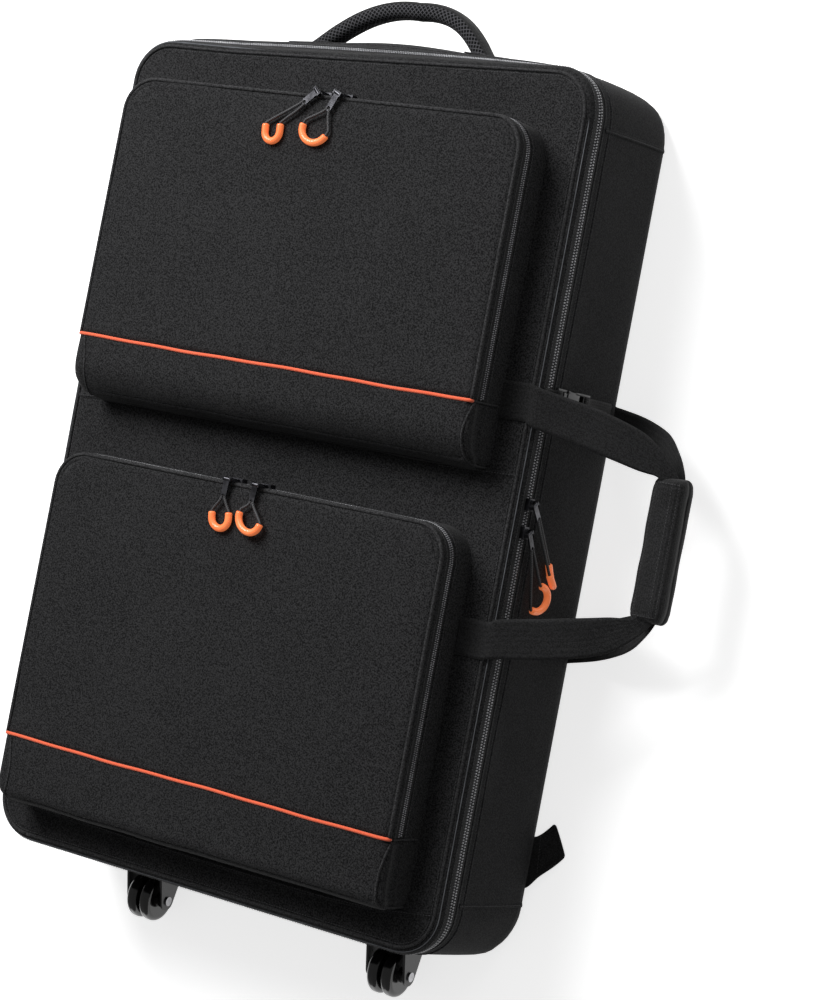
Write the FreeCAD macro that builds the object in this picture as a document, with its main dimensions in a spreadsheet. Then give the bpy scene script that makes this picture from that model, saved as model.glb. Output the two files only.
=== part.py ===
import FreeCAD, Part
import math
import os

import Sketcher
from FreeCAD import Placement, Rotation, Vector

# A rolling portfolio case, lying on its back. The origin is the middle of the back panel's outer face.
# +X is the side with the carrying handle, +Y runs up the case to the top handle, +Z is out of the front.

doc = FreeCAD.newDocument("portfolio_case")
sheet = doc.addObject("Spreadsheet::Sheet", "Dims")

DIMENSIONS = {
    # Case body
    "case_width": 606, "case_height": 940, "case_depth": 180, "case_corner": 50,
    "lid_depth": 20, "skin": 2, "foam": 6, "lid_foam": 5, "lining": 1,
    "zip_band": 11, "zip_end_inset": 30, "seam_gap": 1,
    "hinge_strip_width": 20, "hinge_strip_thick": 1, "hinge_strip_inset": 20,
    # Stiffening boards
    "back_board_width": 500, "back_board_height": 840, "back_board_thick": 2,
    "base_board_width": 480, "base_board_depth": 130, "base_board_thick": 3,
    # Front pockets
    "pocket_width": 522, "pocket_depth": 56, "pocket_corner": 38, "pocket_foot_corner": 14,
    "pocket_rim": 20, "pocket_zip_band": 7,
    "upper_foot": 48, "upper_height": 367, "upper_band": 71,
    "lower_foot": -423, "lower_height": 408, "lower_band": 79,
    "piping_radius": 1.5, "piping_inset": 4, "piping_drop": 0.3,
    # Webbing and carrying handle
    "webbing": 40, "webbing_thick": 2, "strap_offset": 127,
    "grip_reach": 129, "grip_length": 156, "grip_width": 38, "grip_depth": 17,
    "grip_core": 22, "grip_core_lift": 9, "grip_round": 9, "grip_gap": 0.2, "grip_end_inset": 2,
    "handle_hinge_gap": 3, "handle_level_inset": 2, "arm_bend": 34, "arm_taper": 16,
    "rear_root_thick": 1.5, "rear_root_depth": 7, "rear_strap_foot": 10,
    "carry_tab_foot": -365, "carry_tab_reach": 38, "carry_tab_level": 1,
    # Top handle
    "handle_span": 244, "handle_rise": 72, "handle_pad_radius": 10.5, "handle_core_radius": 4,
    "handle_pad_start": 17, "handle_core_start": 8, "anchor_length": 46, "anchor_width": 34,
    # Wheels
    "wheel_offset": 171, "wheel_height": 31, "wheel_radius": 27, "tyre_width": 15, "tyre_gap": 3,
    "wheel_drop": 53, "axle_radius": 3, "axle_clearance": 0.05, "hub_radius": 9, "hub_stand": 2,
    "tyre_round": 6, "rivet_radius": 5.5, "rivet_head": 2,
    "bracket_width": 52, "bracket_length": 54, "bracket_plate": 3, "ear_thick": 3, "ear_foot": 11,
    "screw_radius": 2, "screw_head_radius": 4, "screw_head": 2.4, "screw_inset": 9,
    # Side-release buckle
    "buckle_width": 30, "buckle_strap": 25, "buckle_thick": 9, "buckle_place": 133,
    "buckle_drop": 12, "buckle_bar_depth": 16, "buckle_bar_lap": 8, "socket_depth": 32,
    "tongue_width": 16, "tongue_reach": 12, "tongue_lift": 4, "tongue_thick": 2.4,
    "mouth_width": 20, "mouth_depth": 16, "mouth_height": 5.4, "mouth_floor": 2,
    "socket_lift": 0.4, "buckle_clearance": 0.3, "lid_strap_inset": 4,
    # Zip pulls
    "slider_length": 13, "slider_width": 10, "slider_thick": 5, "slider_gap": 0.5,
    "link_length": 22, "link_width": 7, "link_thick": 1.8, "link_eye": 2, "link_eye_inset": 3.5,
    "link_barrel": 2.2, "link_pin": 1.05, "link_pin_clearance": 0.05, "link_cheek": 1.4,
    "cheek_gap": 0.3, "saddle_gap": 0.4, "saddle_thick": 1.2, "saddle_drop": 3,
    "column_half": 2.5, "column_depth": 4, "side_column_half": 2, "pull_head_gap": 3,
    "pull_lift": 4.2,
    "cord_radius": 1.3, "tip_radius": 3.8, "tip_bend": 10.5,
}
for row, (alias, number) in enumerate(DIMENSIONS.items(), start=1):
    sheet.set(f"A{row}", alias)
    sheet.set(f"B{row}", str(number))
    sheet.setAlias(f"B{row}", alias)
doc.recompute()


class Size:
    """A length that knows its number and the spreadsheet expression it comes from."""

    def __init__(self, value, text):
        self.value = float(value)
        self.text = text

    def combine(self, other, sign, value):
        return Size(value, f"({self.text} {sign} {as_size(other).text})")

    def __add__(self, other):
        return self.combine(other, "+", self.value + as_size(other).value)

    def __sub__(self, other):
        return self.combine(other, "-", self.value - as_size(other).value)

    def __mul__(self, other):
        return self.combine(other, "*", self.value * as_size(other).value)

    def __truediv__(self, other):
        return self.combine(other, "/", self.value / as_size(other).value)

    def __radd__(self, other):
        return as_size(other) + self

    def __rsub__(self, other):
        return as_size(other) - self

    def __neg__(self):
        return as_size(0) - self


def as_size(number):
    return number if isinstance(number, Size) else Size(number, f"{number}")


class Sheet:
    """Reads an aliased cell as a Size: dims.case_width."""

    def __getattr__(self, alias):
        return Size(getattr(sheet, alias), f"Dims.{alias}")


dims = Sheet()
nodes = {}


def bind(thing, **sizes):
    for name, size in sizes.items():
        thing.setExpression(name, as_size(size).text)


def place(thing, x=0, y=0, z=0, axis=None, angle=0):
    """Puts a piece at a point, after turning it about an axis; the point is bound to the sheet."""
    spin = Rotation(Vector(*axis), angle) if axis else Rotation()
    point = [as_size(value) for value in (x, y, z)]
    thing.Placement = Placement(Vector(*[size.value for size in point]), spin)
    for letter, size in zip("xyz", point):
        thing.setExpression(f"Placement.Base.{letter}", size.text)
    return thing


def node(name, thing):
    thing.Label = name
    nodes[name] = thing
    return thing


def box(name, low, high):
    """A block between two corners, each bound to the sheet."""
    block = doc.addObject("Part::Box", name)
    low = [as_size(value) for value in low]
    high = [as_size(value) for value in high]
    bind(block, Length=high[0] - low[0], Width=high[1] - low[1], Height=high[2] - low[2])
    return place(block, *low)


def rod(name, radius, length, x=0, y=0, z=0, axis=None, angle=0):
    cylinder = doc.addObject("Part::Cylinder", name)
    bind(cylinder, Radius=radius, Height=length)
    return place(cylinder, x, y, z, axis, angle)


def cut(name, base, tool):
    result = doc.addObject("Part::Cut", name)
    result.Base = base
    result.Tool = tool
    return result


def common(name, base, tool):
    result = doc.addObject("Part::Common", name)
    result.Base = base
    result.Tool = tool
    return result


def fuse(name, things):
    result = doc.addObject("Part::MultiFuse", name)
    result.Shapes = things
    return result


def group(name, things):
    result = doc.addObject("Part::Compound", name)
    result.Links = things
    return result


# ---------------------------------------------------------------- sketch helpers

def origin_plane(body, role):
    return next(item for item in body.Origin.OriginFeatures if item.Role == role)


def new_sketch(body, name, height=0, role="XY_Plane"):
    sketch = body.newObject("Sketcher::SketchObject", name)
    sketch.AttachmentSupport = [(origin_plane(body, role), "")]
    sketch.MapMode = "FlatFace"
    sketch.setExpression("AttachmentOffset.Base.z", as_size(height).text)
    return sketch


def constrain(sketch, name, constraint, size):
    index = sketch.addConstraint(constraint)
    sketch.renameConstraint(index, name)
    sketch.setExpression(f"Constraints.{name}", size.text)


def rounded_rectangle(sketch, width, height, foot, head, lift=None, tag=""):
    """A rectangle centred on the Y axis, with rounded lower (foot) and upper (head) corners."""
    width, height, foot, head = [as_size(value) for value in (width, height, foot, head)]
    lift = as_size(0) if lift is None else lift
    x, low, high = width.value / 2, lift.value, lift.value + height.value
    f, r = foot.value, head.value
    corners = [((x - f, low + f), f, 270), ((x - r, high - r), r, 0),
               ((-x + r, high - r), r, 90), ((-x + f, low + f), f, 180)]
    sides = [((-x + f, low), (x - f, low)), ((x, low + f), (x, high - r)),
             ((x - r, high), (-x + r, high)), ((-x, high - r), (-x, low + f))]
    lines, arcs = [], []
    for (start, end), (centre, radius, angle) in zip(sides, corners):
        lines.append(sketch.addGeometry(Part.LineSegment(Vector(*start, 0), Vector(*end, 0)), False))
        circle = Part.Circle(Vector(*centre, 0), Vector(0, 0, 1), radius)
        begin = math.radians(angle)
        arcs.append(sketch.addGeometry(Part.ArcOfCircle(circle, begin, begin + math.pi / 2), False))
    for index in range(4):
        sketch.addConstraint(Sketcher.Constraint("Tangent", lines[index], 2, arcs[index], 1))
        sketch.addConstraint(Sketcher.Constraint("Tangent", arcs[index], 2, lines[(index + 1) % 4], 1))
    sketch.addConstraint(Sketcher.Constraint("Horizontal", lines[0]))
    sketch.addConstraint(Sketcher.Constraint("Vertical", lines[1]))
    sketch.addConstraint(Sketcher.Constraint("Equal", arcs[0], arcs[3]))
    sketch.addConstraint(Sketcher.Constraint("Equal", arcs[1], arcs[2]))
    sketch.addConstraint(Sketcher.Constraint("Symmetric", lines[1], 1, lines[3], 2, -2))
    constrain(sketch, f"foot{tag}", Sketcher.Constraint("Radius", arcs[0], f), foot)
    constrain(sketch, f"head{tag}", Sketcher.Constraint("Radius", arcs[1], r), head)
    constrain(sketch, f"width{tag}",
              Sketcher.Constraint("DistanceX", lines[3], 1, lines[1], 1, width.value), width)
    constrain(sketch, f"height{tag}",
              Sketcher.Constraint("DistanceY", lines[0], 1, lines[2], 1, height.value), height)
    if lift.value:
        constrain(sketch, f"lift{tag}",
                  Sketcher.Constraint("DistanceY", -1, 1, lines[0], 1, lift.value), lift)
    else:
        sketch.addConstraint(Sketcher.Constraint("PointOnObject", lines[0], 1, -1))


def pad(body, sketch, length):
    feature = body.newObject("PartDesign::Pad", f"{sketch.Name}_pad")
    feature.Profile = sketch
    feature.Length = as_size(length).value
    bind(feature, Length=length)
    sketch.Visibility = False
    return feature


def tray(name, width, height, foot, head, wall, floor, depth, open_side):
    """A shallow box with rounded corners, open at its top or at its bottom."""
    body = doc.addObject("PartDesign::Body", name)
    walls = new_sketch(body, f"{name}_walls")
    rounded_rectangle(walls, width, height, foot, head)
    rounded_rectangle(walls, width - wall * 2, height - wall * 2, foot - wall, head - wall, wall, "_in")
    pad(body, walls, depth)
    level = as_size(0) if open_side == "top" else depth - floor
    closed = new_sketch(body, f"{name}_floor", level)
    rounded_rectangle(closed, width, height, foot, head)
    pad(body, closed, floor)
    return body


# ---------------------------------------------------------------- case body and lid

half_width = dims.case_width / 2
half_height = dims.case_height / 2
split = dims.case_depth - dims.lid_depth


def nested_tray(name, inset, wall, floor, depth, level, open_side):
    """One layer of the case: the outline drawn in by inset on every side."""
    corner = dims.case_corner - inset
    layer = tray(name, dims.case_width - inset * 2, dims.case_height - inset * 2,
                 corner, corner, wall, floor, depth, open_side)
    return place(layer, 0, inset - half_height, level)


# The zip runs round the top, the right side and the bottom; the left side is the fabric hinge.
zip_from = dims.zip_end_inset - half_width
reach_x = half_width + 10
reach_y = half_height + 10

back_skin = nested_tray("back_skin", as_size(0), dims.skin, dims.skin, split, 0, "top")
back_zip_zone = box("back_zip_zone", (zip_from, -reach_y, split - dims.zip_band),
                    (reach_x, reach_y, split))
lid_skin = nested_tray("lid_skin", as_size(0), dims.skin, dims.skin, dims.lid_depth, split, "bottom")
lid_zip_zone = box("lid_zip_zone", (zip_from, -reach_y, split),
                   (reach_x, reach_y, split + dims.zip_band))
node("main_zip_back", common("main_zip_back", back_skin, back_zip_zone))
node("main_zip_lid", common("main_zip_lid", lid_skin, lid_zip_zone))
node("lid_shell", cut("lid_shell", lid_skin, lid_zip_zone))

back_board = box("back_board", (-dims.back_board_width / 2, -dims.back_board_height / 2, dims.skin),
                 (dims.back_board_width / 2, dims.back_board_height / 2,
                  dims.skin + dims.back_board_thick))
node("back_board", back_board)

base_low = dims.skin - half_height
base_side = dims.base_board_width / 2
base_blank = box("base_blank", (-base_side, base_low, dims.skin + dims.foam),
                 (base_side, base_low + dims.base_board_thick,
                  dims.skin + dims.foam + dims.base_board_depth))

back_padding = nested_tray("back_padding", dims.skin, dims.foam, dims.foam,
                           split - dims.skin - dims.seam_gap, dims.skin, "top")
board_room = fuse("board_room", [back_board, base_blank])
node("back_foam", cut("back_foam", back_padding, board_room))
inner = dims.skin + dims.foam
node("back_lining", nested_tray("back_lining", inner, dims.lining, dims.lining,
                                split - inner - dims.seam_gap, inner, "top"))

node("lid_foam", nested_tray("lid_foam", dims.skin, dims.foam, dims.lid_foam,
                             dims.lid_depth - dims.skin - dims.seam_gap, split + dims.seam_gap, "bottom"))
node("lid_lining", nested_tray("lid_lining", inner, dims.lining, dims.lining,
                               dims.lid_depth - dims.skin - dims.lid_foam - dims.seam_gap,
                               split + dims.seam_gap, "bottom"))

# The strip of fabric that joins the lid to the body, sewn inside the left wall.
strip_face = inner + dims.lining - half_width
strip_end = half_height - dims.case_corner - dims.hinge_strip_inset
strip_top = split - dims.seam_gap - 1
node("hinge_strip", box("hinge_strip", (strip_face, -strip_end, strip_top - dims.hinge_strip_width),
                        (strip_face + dims.hinge_strip_thick, strip_end, strip_top)))

# ---------------------------------------------------------------- wheels

axle_y = -half_height - dims.wheel_drop
flange_y = -half_height - dims.bracket_plate
ear_x = dims.bracket_width / 2 - dims.ear_thick


def bracket_ear(name, x):
    """A triangular ear with a round end about the axle."""
    body = doc.addObject("PartDesign::Body", name)
    sketch = new_sketch(body, f"{name}_outline")
    side = dims.bracket_length.value / 2
    drop = dims.wheel_drop.value
    foot = dims.ear_foot.value
    touch = math.atan2(drop, side) - math.acos(foot / math.hypot(side, drop))
    touch_x = foot * math.cos(touch)
    touch_y = foot * math.sin(touch) - drop
    top_left, top_right = Vector(-side, 0, 0), Vector(side, 0, 0)
    left, right = Vector(-touch_x, touch_y, 0), Vector(touch_x, touch_y, 0)
    bottom = Vector(0, -drop - foot, 0)
    outline = [Part.LineSegment(top_right, top_left), Part.LineSegment(top_left, left),
               Part.Arc(left, bottom, right), Part.LineSegment(right, top_right)]
    for piece in outline:
        sketch.addGeometry(piece, False)
    for index in range(4):
        sketch.addConstraint(Sketcher.Constraint("Coincident", index, 2, (index + 1) % 4, 1))
    pad(body, sketch, dims.ear_thick)
    return place(body, x, -half_height, dims.wheel_height, (0, 1, 0), 90)


brackets, wheels, axles, screws, shanks = [], [], [], [], []
for side, sign in (("left", -1), ("right", 1)):
    centre = dims.wheel_offset * sign
    half_plate = dims.bracket_width / 2
    half_long = dims.bracket_length / 2
    flange = box(f"flange_{side}", (centre - half_plate, flange_y, dims.wheel_height - half_long),
                 (centre + half_plate, -half_height, dims.wheel_height + half_long))
    ears = [bracket_ear(f"ear_{side}_inner", centre - half_plate),
            bracket_ear(f"ear_{side}_outer", centre + ear_x)]
    bracket = fuse(f"bracket_blank_{side}", [flange] + ears)

    holes = []
    for dx in (-1, 1):
        for dz in (-1, 1):
            x = centre + (half_plate - dims.screw_inset - dims.ear_thick) * dx
            z = dims.wheel_height + (half_long - dims.screw_inset) * dz
            tag = f"{side}_{dx + 1}{dz + 1}"
            depth = dims.bracket_plate + dims.skin + dims.base_board_thick
            shank = rod(f"shank_{tag}", dims.screw_radius, depth, x, flange_y, z, (1, 0, 0), -90)
            head = rod(f"head_{tag}", dims.screw_head_radius, dims.screw_head,
                       x, flange_y - dims.screw_head, z, (1, 0, 0), -90)
            screws.append(fuse(f"screw_{tag}", [shank, head]))
            holes.append(shank)
    shanks += holes

    length = dims.bracket_width + dims.rivet_head * 2
    pin = rod(f"pin_{side}", dims.axle_radius, length, centre - length / 2, axle_y, dims.wheel_height,
              (0, 1, 0), 90)
    caps = [rod(f"rivet_{side}_{index}", dims.rivet_radius, dims.rivet_head, x, axle_y,
                dims.wheel_height, (0, 1, 0), 90)
            for index, x in enumerate((centre - length / 2, centre + length / 2 - dims.rivet_head))]
    axles.append(fuse(f"axle_{side}", [pin] + caps))
    brackets.append(cut(f"bracket_{side}", bracket, fuse(f"bracket_holes_{side}", holes + [pin])))

    tyres = []
    for turn in (-1, 1):
        start = centre + dims.tyre_gap / 2 if turn > 0 else centre - dims.tyre_gap / 2 - dims.tyre_width
        tyre = rod(f"tyre_{side}_{turn + 1}", dims.wheel_radius, dims.tyre_width,
                   start, axle_y, dims.wheel_height, (0, 1, 0), 90)
        doc.recompute()
        rounded = doc.addObject("Part::Fillet", f"tyre_round_{side}_{turn + 1}")
        rounded.Base = tyre
        rims = [index for index, edge in enumerate(tyre.Shape.Edges, start=1)
                if edge.Closed and edge.Length > 100]
        rounded.Edges = [(index, dims.tyre_round.value, dims.tyre_round.value) for index in rims]
        tyres.append(rounded)
    hub_length = dims.tyre_width * 2 + dims.tyre_gap + dims.hub_stand * 2
    hub = rod(f"hub_{side}", dims.hub_radius, hub_length, centre - hub_length / 2, axle_y,
              dims.wheel_height, (0, 1, 0), 90)
    bore = rod(f"bore_{side}", dims.axle_radius + dims.axle_clearance, hub_length + 4,
               centre - hub_length / 2 - 2, axle_y, dims.wheel_height, (0, 1, 0), 90)
    node(f"wheel_{side}", cut(f"wheel_{side}", fuse(f"wheel_blank_{side}", tyres + [hub]), bore))

node("wheel_brackets", group("wheel_brackets", brackets))
node("wheel_axles", group("wheel_axles", axles))
node("bracket_screws", group("bracket_screws", screws))
screw_holes = fuse("screw_holes", shanks)
node("base_board", cut("base_board", base_blank, screw_holes))
back_panel = cut("back_panel", back_skin, back_zip_zone)
node("back_shell", cut("back_shell", back_panel, screw_holes))

# ---------------------------------------------------------------- front pockets

front = dims.case_depth
pocket_front = dims.case_depth + dims.pocket_depth
zip_level = pocket_front - dims.pocket_rim
piping = []
for name in ("upper", "lower"):
    foot = getattr(dims, f"{name}_foot")
    height = getattr(dims, f"{name}_height")
    fold = foot + getattr(dims, f"{name}_band")
    skin = tray(f"{name}_pocket_skin", dims.pocket_width, height, dims.pocket_foot_corner,
                dims.pocket_corner, dims.skin, dims.skin, dims.pocket_depth, "bottom")
    place(skin, 0, foot, front)
    side = dims.pocket_width / 2 + 10
    head = foot + height + 10
    opening = box(f"{name}_opening", (-side, fold, zip_level - dims.pocket_zip_band),
                  (side, head, pocket_front + 10))
    lower_zip = box(f"{name}_zip_zone", (-side, fold, zip_level - dims.pocket_zip_band),
                    (side, head, zip_level))
    flap_zip = box(f"{name}_flap_zip_zone", (-side, fold, zip_level),
                   (side, head, zip_level + dims.pocket_zip_band))
    flap_zone = box(f"{name}_flap_zone", (-side, fold, zip_level + dims.pocket_zip_band),
                    (side, head, pocket_front + 10))
    node(f"{name}_pocket_body", cut(f"{name}_pocket_body", skin, opening))
    node(f"{name}_pocket_zip", common(f"{name}_pocket_zip", skin, lower_zip))
    node(f"{name}_flap_zip", common(f"{name}_flap_zip", skin, flap_zip))
    node(f"{name}_pocket_flap", common(f"{name}_pocket_flap", skin, flap_zone))
    # The piping is a half-round bead on the seam between the fixed band and the flap.
    bead = rod(f"{name}_bead", dims.piping_radius, dims.pocket_width - dims.piping_inset * 2,
               dims.piping_inset - dims.pocket_width / 2,
               fold - dims.piping_radius - dims.piping_drop, pocket_front, (0, 1, 0), 90)
    above = box(f"{name}_above", (-side, fold - 10, pocket_front), (side, fold, pocket_front + 10))
    piping.append(common(f"{name}_piping", bead, above))
node("pocket_piping", group("pocket_piping", piping))

# ---------------------------------------------------------------- top handle

arch_radius = (dims.handle_span * dims.handle_span / 4 + dims.handle_rise * dims.handle_rise) \
    / (dims.handle_rise * 2)
arch_y = half_height + dims.handle_rise - arch_radius
middle = dims.case_depth / 2


def arch(name, radius):
    ring = doc.addObject("Part::Torus", name)
    bind(ring, Radius1=arch_radius, Radius2=radius)
    return place(ring, 0, arch_y, middle)


def above_top(name, lift):
    reach = dims.handle_span
    return box(name, (-reach, half_height + lift, middle - 40), (reach, half_height + 120, middle + 40))


core_ring = arch("handle_core_ring", dims.handle_core_radius)
core = common("top_handle_webbing", core_ring, above_top("core_zone", dims.handle_core_start))
node("top_handle_webbing", core)
sleeve = cut("handle_sleeve", arch("handle_pad_ring", dims.handle_pad_radius), core_ring)
node("top_handle_pad", common("top_handle_pad", sleeve, above_top("pad_zone", dims.handle_pad_start)))
anchors = []
for sign in (-1, 1):
    x = dims.handle_span / 2 * sign
    anchors.append(box(f"anchor_{sign + 1}",
                       (x - dims.anchor_length / 2, half_height, middle - dims.anchor_width / 2),
                       (x + dims.anchor_length / 2, half_height + dims.webbing_thick,
                        middle + dims.anchor_width / 2)))
node("top_handle_anchors", group("top_handle_anchors", anchors))

# ---------------------------------------------------------------- carrying handle

strap_low = dims.strap_offset - dims.webbing / 2
strap_high = dims.strap_offset + dims.webbing / 2
front_level = dims.case_depth - dims.handle_level_inset
rear_level = dims.case_depth - front_level
edge_x = half_width + dims.handle_hinge_gap
arm_reach = dims.grip_reach.value - dims.handle_hinge_gap.value
arm_fall = front_level.value - middle.value - dims.grip_core_lift.value
lean = math.degrees(math.atan2(arm_fall, arm_reach))


def loop_outline(sketch):
    """Half of a flat webbing loop, both arms and the stretch inside the grip, in its own plane."""
    reach = math.hypot(arm_reach, arm_fall)
    core = dims.grip_core.value / 2
    grip = dims.grip_length.value / 2
    low, high = strap_low.value, strap_high.value
    taper = dims.arm_taper.value
    bend = reach - dims.arm_bend.value
    inner_bend = bend - taper * 7 / 8
    inner_grip = grip - taper * 3 / 4
    outer = [(0, high), (bend, high - taper), (reach + core, grip)]
    inner_side = [(reach - core, inner_grip), (inner_bend, low - taper / 2), (0, low)]
    right = [Vector(x, -y, 0) for x, y in reversed(outer)]
    right += [Vector(x, -y, 0) for x, y in reversed(inner_side)]
    points = [Vector(x, y, 0) for x, y in outer] + right + [Vector(x, y, 0) for x, y in inner_side]
    count = len(points)
    for index in range(count):
        sketch.addGeometry(Part.LineSegment(points[index], points[(index + 1) % count]), False)
    for index in range(count):
        sketch.addConstraint(Sketcher.Constraint("Coincident", index, 2, (index + 1) % count, 1))


def handle_loop(name, level, angle):
    body = doc.addObject("PartDesign::Body", name)
    sketch = new_sketch(body, f"{name}_outline")
    loop_outline(sketch)
    pad(body, sketch, dims.webbing_thick)
    return place(body, edge_x, 0, level, (0, 1, 0), angle)


front_loop = handle_loop("handle_strap_front", front_level, lean)
rear_loop = handle_loop("handle_strap_rear", rear_level, -lean)
node("handle_strap_front", front_loop)
node("handle_strap_rear", rear_loop)


def grip_half(name, sign, strap):
    """A rounded half pad over one strap; the two halves close on the case's mid plane."""
    side = dims.grip_width / 2
    x = half_width + dims.grip_reach
    half = dims.grip_length / 2 - dims.grip_end_inset
    low = middle + dims.grip_gap if sign > 0 else middle - dims.grip_gap - dims.grip_depth
    block = box(f"{name}_blank", (x - side, -half, low), (x + side, half, low + dims.grip_depth))
    doc.recompute()
    rounded = doc.addObject("Part::Fillet", f"{name}_rounded")
    rounded.Base = block
    face_z = low.value + (dims.grip_depth.value if sign > 0 else 0)
    edges = [index for index, edge in enumerate(block.Shape.Edges, start=1)
             if abs(edge.CenterOfMass.z - face_z) < 0.01 and edge.Length > 100]
    rounded.Edges = [(index, dims.grip_round.value, dims.grip_round.value) for index in edges]
    node(name, cut(name, rounded, strap))


grip_half("grip_front", 1, front_loop)
grip_half("grip_rear", -1, rear_loop)

# Webbing sewn flat: the roots of the front loop and the buckle strap on the lid.
pocket_side = dims.pocket_width / 2
lid_webbing = []
for sign in (-1, 1):
    ends = (strap_low, strap_high) if sign > 0 else (-strap_high, -strap_low)
    lid_webbing.append(box(f"lid_root_{sign + 1}", (pocket_side, ends[0], front),
                           (half_width - 1, ends[1], front + dims.webbing_thick)))
buckle_low = dims.buckle_place - dims.buckle_strap / 2
buckle_high = dims.buckle_place + dims.buckle_strap / 2
strap_out = half_width + dims.webbing_thick
male_top = split - dims.buckle_drop
lid_webbing.append(box("buckle_strap_lid", (half_width, buckle_low, male_top),
                       (strap_out, buckle_high, dims.case_depth - dims.lid_strap_inset)))
node("lid_webbing", group("lid_webbing", lid_webbing))

# Side-release buckle across the zip, its tongue pointing down into the socket half.
socket_top = male_top - dims.buckle_bar_depth
socket_low = socket_top - dims.socket_depth
buckle_side = dims.buckle_width / 2
buckle_out = half_width + dims.buckle_thick
bar = box("buckle_bar", (strap_out, dims.buckle_place - buckle_side, socket_top + dims.buckle_clearance),
          (buckle_out, dims.buckle_place + buckle_side, male_top + dims.buckle_bar_lap))
tongue_in = half_width + dims.tongue_lift
tongue = box("buckle_tongue",
             (tongue_in, dims.buckle_place - dims.tongue_width / 2, socket_top - dims.tongue_reach),
             (tongue_in + dims.tongue_thick, dims.buckle_place + dims.tongue_width / 2, socket_top + 1))
node("buckle_tongue", fuse("buckle_tongue_half", [bar, tongue]))
socket_in = half_width + dims.socket_lift
socket = box("buckle_socket_blank", (socket_in, dims.buckle_place - buckle_side, socket_low),
             (buckle_out, dims.buckle_place + buckle_side, socket_top))
mouth_in = socket_in + dims.mouth_floor
mouth = box("buckle_mouth",
            (mouth_in, dims.buckle_place - dims.mouth_width / 2, socket_top - dims.mouth_depth),
            (mouth_in + dims.mouth_height, dims.buckle_place + dims.mouth_width / 2, socket_top + 1))
node("buckle_socket", cut("buckle_socket", socket, mouth))

# Webbing sewn to the back: the buckle strap, the roots of the rear loop, and the carry strap tabs.
back_webbing = [box("buckle_strap_back", (half_width, buckle_low, dims.rear_strap_foot),
                    (strap_out, buckle_high, socket_low))]
tab_head = dims.carry_tab_foot + dims.webbing
for sign in (-1, 1):
    ends = (strap_low, strap_high) if sign > 0 else (-strap_high, -strap_low)
    back_webbing.append(box(f"rear_root_{sign + 1}", (half_width, ends[0], dims.rear_root_thick),
                            (half_width + dims.rear_root_thick, ends[1], dims.rear_root_depth)))
    tab_left = half_width if sign > 0 else -half_width - dims.carry_tab_reach
    back_webbing.append(box(f"carry_tab_{sign + 1}", (tab_left, dims.carry_tab_foot, dims.carry_tab_level),
                            (tab_left + dims.carry_tab_reach, tab_head,
                             dims.carry_tab_level + dims.webbing_thick)))
node("back_webbing", group("back_webbing", back_webbing))

# ---------------------------------------------------------------- zip sliders and pulls


def rounded_route(points, share=0.45):
    """Straight runs joined by tangent arcs, as one wire, with its length and smallest radius."""
    edges, begin, radii = [], points[0], []
    for index in range(1, len(points) - 1):
        corner = points[index]
        before = points[index - 1] - corner
        after = points[index + 1] - corner
        run = min(before.Length, after.Length)
        turn = math.pi - before.getAngle(after)
        reach = share * run
        radii.append(reach / math.tan(turn / 2))
        first = corner + before.normalize() * reach
        last = corner + after.normalize() * reach
        inward = (first + last) * 0.5 - corner
        depth = radii[-1] / math.cos(turn / 2) - radii[-1]
        edges.append(Part.LineSegment(begin, first).toShape())
        edges.append(Part.Arc(first, corner + inward.normalize() * depth, last).toShape())
        begin = last
    edges.append(Part.LineSegment(begin, points[-1]).toShape())
    wire = Part.Wire(edges)
    print("cord", round(wire.Length, 1), "mm, tightest bend", round(min(radii), 1), "mm")
    return wire


def tube(wire, radius):
    start = wire.Edges[0]
    direction = start.tangentAt(start.FirstParameter)
    profile = Part.Wire(Part.Circle(start.valueAt(start.FirstParameter), direction, radius).toShape())
    return wire.makePipeShell([profile], True, False)


def cord_points(drop):
    """The cord's route in the pull's own plane: out of the link's eye, round the tip and back."""
    bend = dims.tip_bend.value
    eye = dims.link_length.value - 3
    run = drop - eye
    side = [(1.6, -eye), (3.4, -eye - 0.24 * run), (7.4, -eye - 0.58 * run), (bend, -drop + 4)]
    down = [Vector(-x, y, 0) for x, y in side]
    turn = [Vector(-bend, -drop - bend + 3, 0), Vector(bend, -drop - bend + 3, 0)]
    return down + turn + [Vector(x, y, 0) for x, y in reversed(side)]


def moved(thing, placement):
    """Puts a piece built in a pull's own frame where the pull is."""
    thing.Placement = placement.multiply(thing.Placement)
    for letter in "xyz":
        thing.setExpression(f"Placement.Base.{letter}", None)
    return thing


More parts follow.
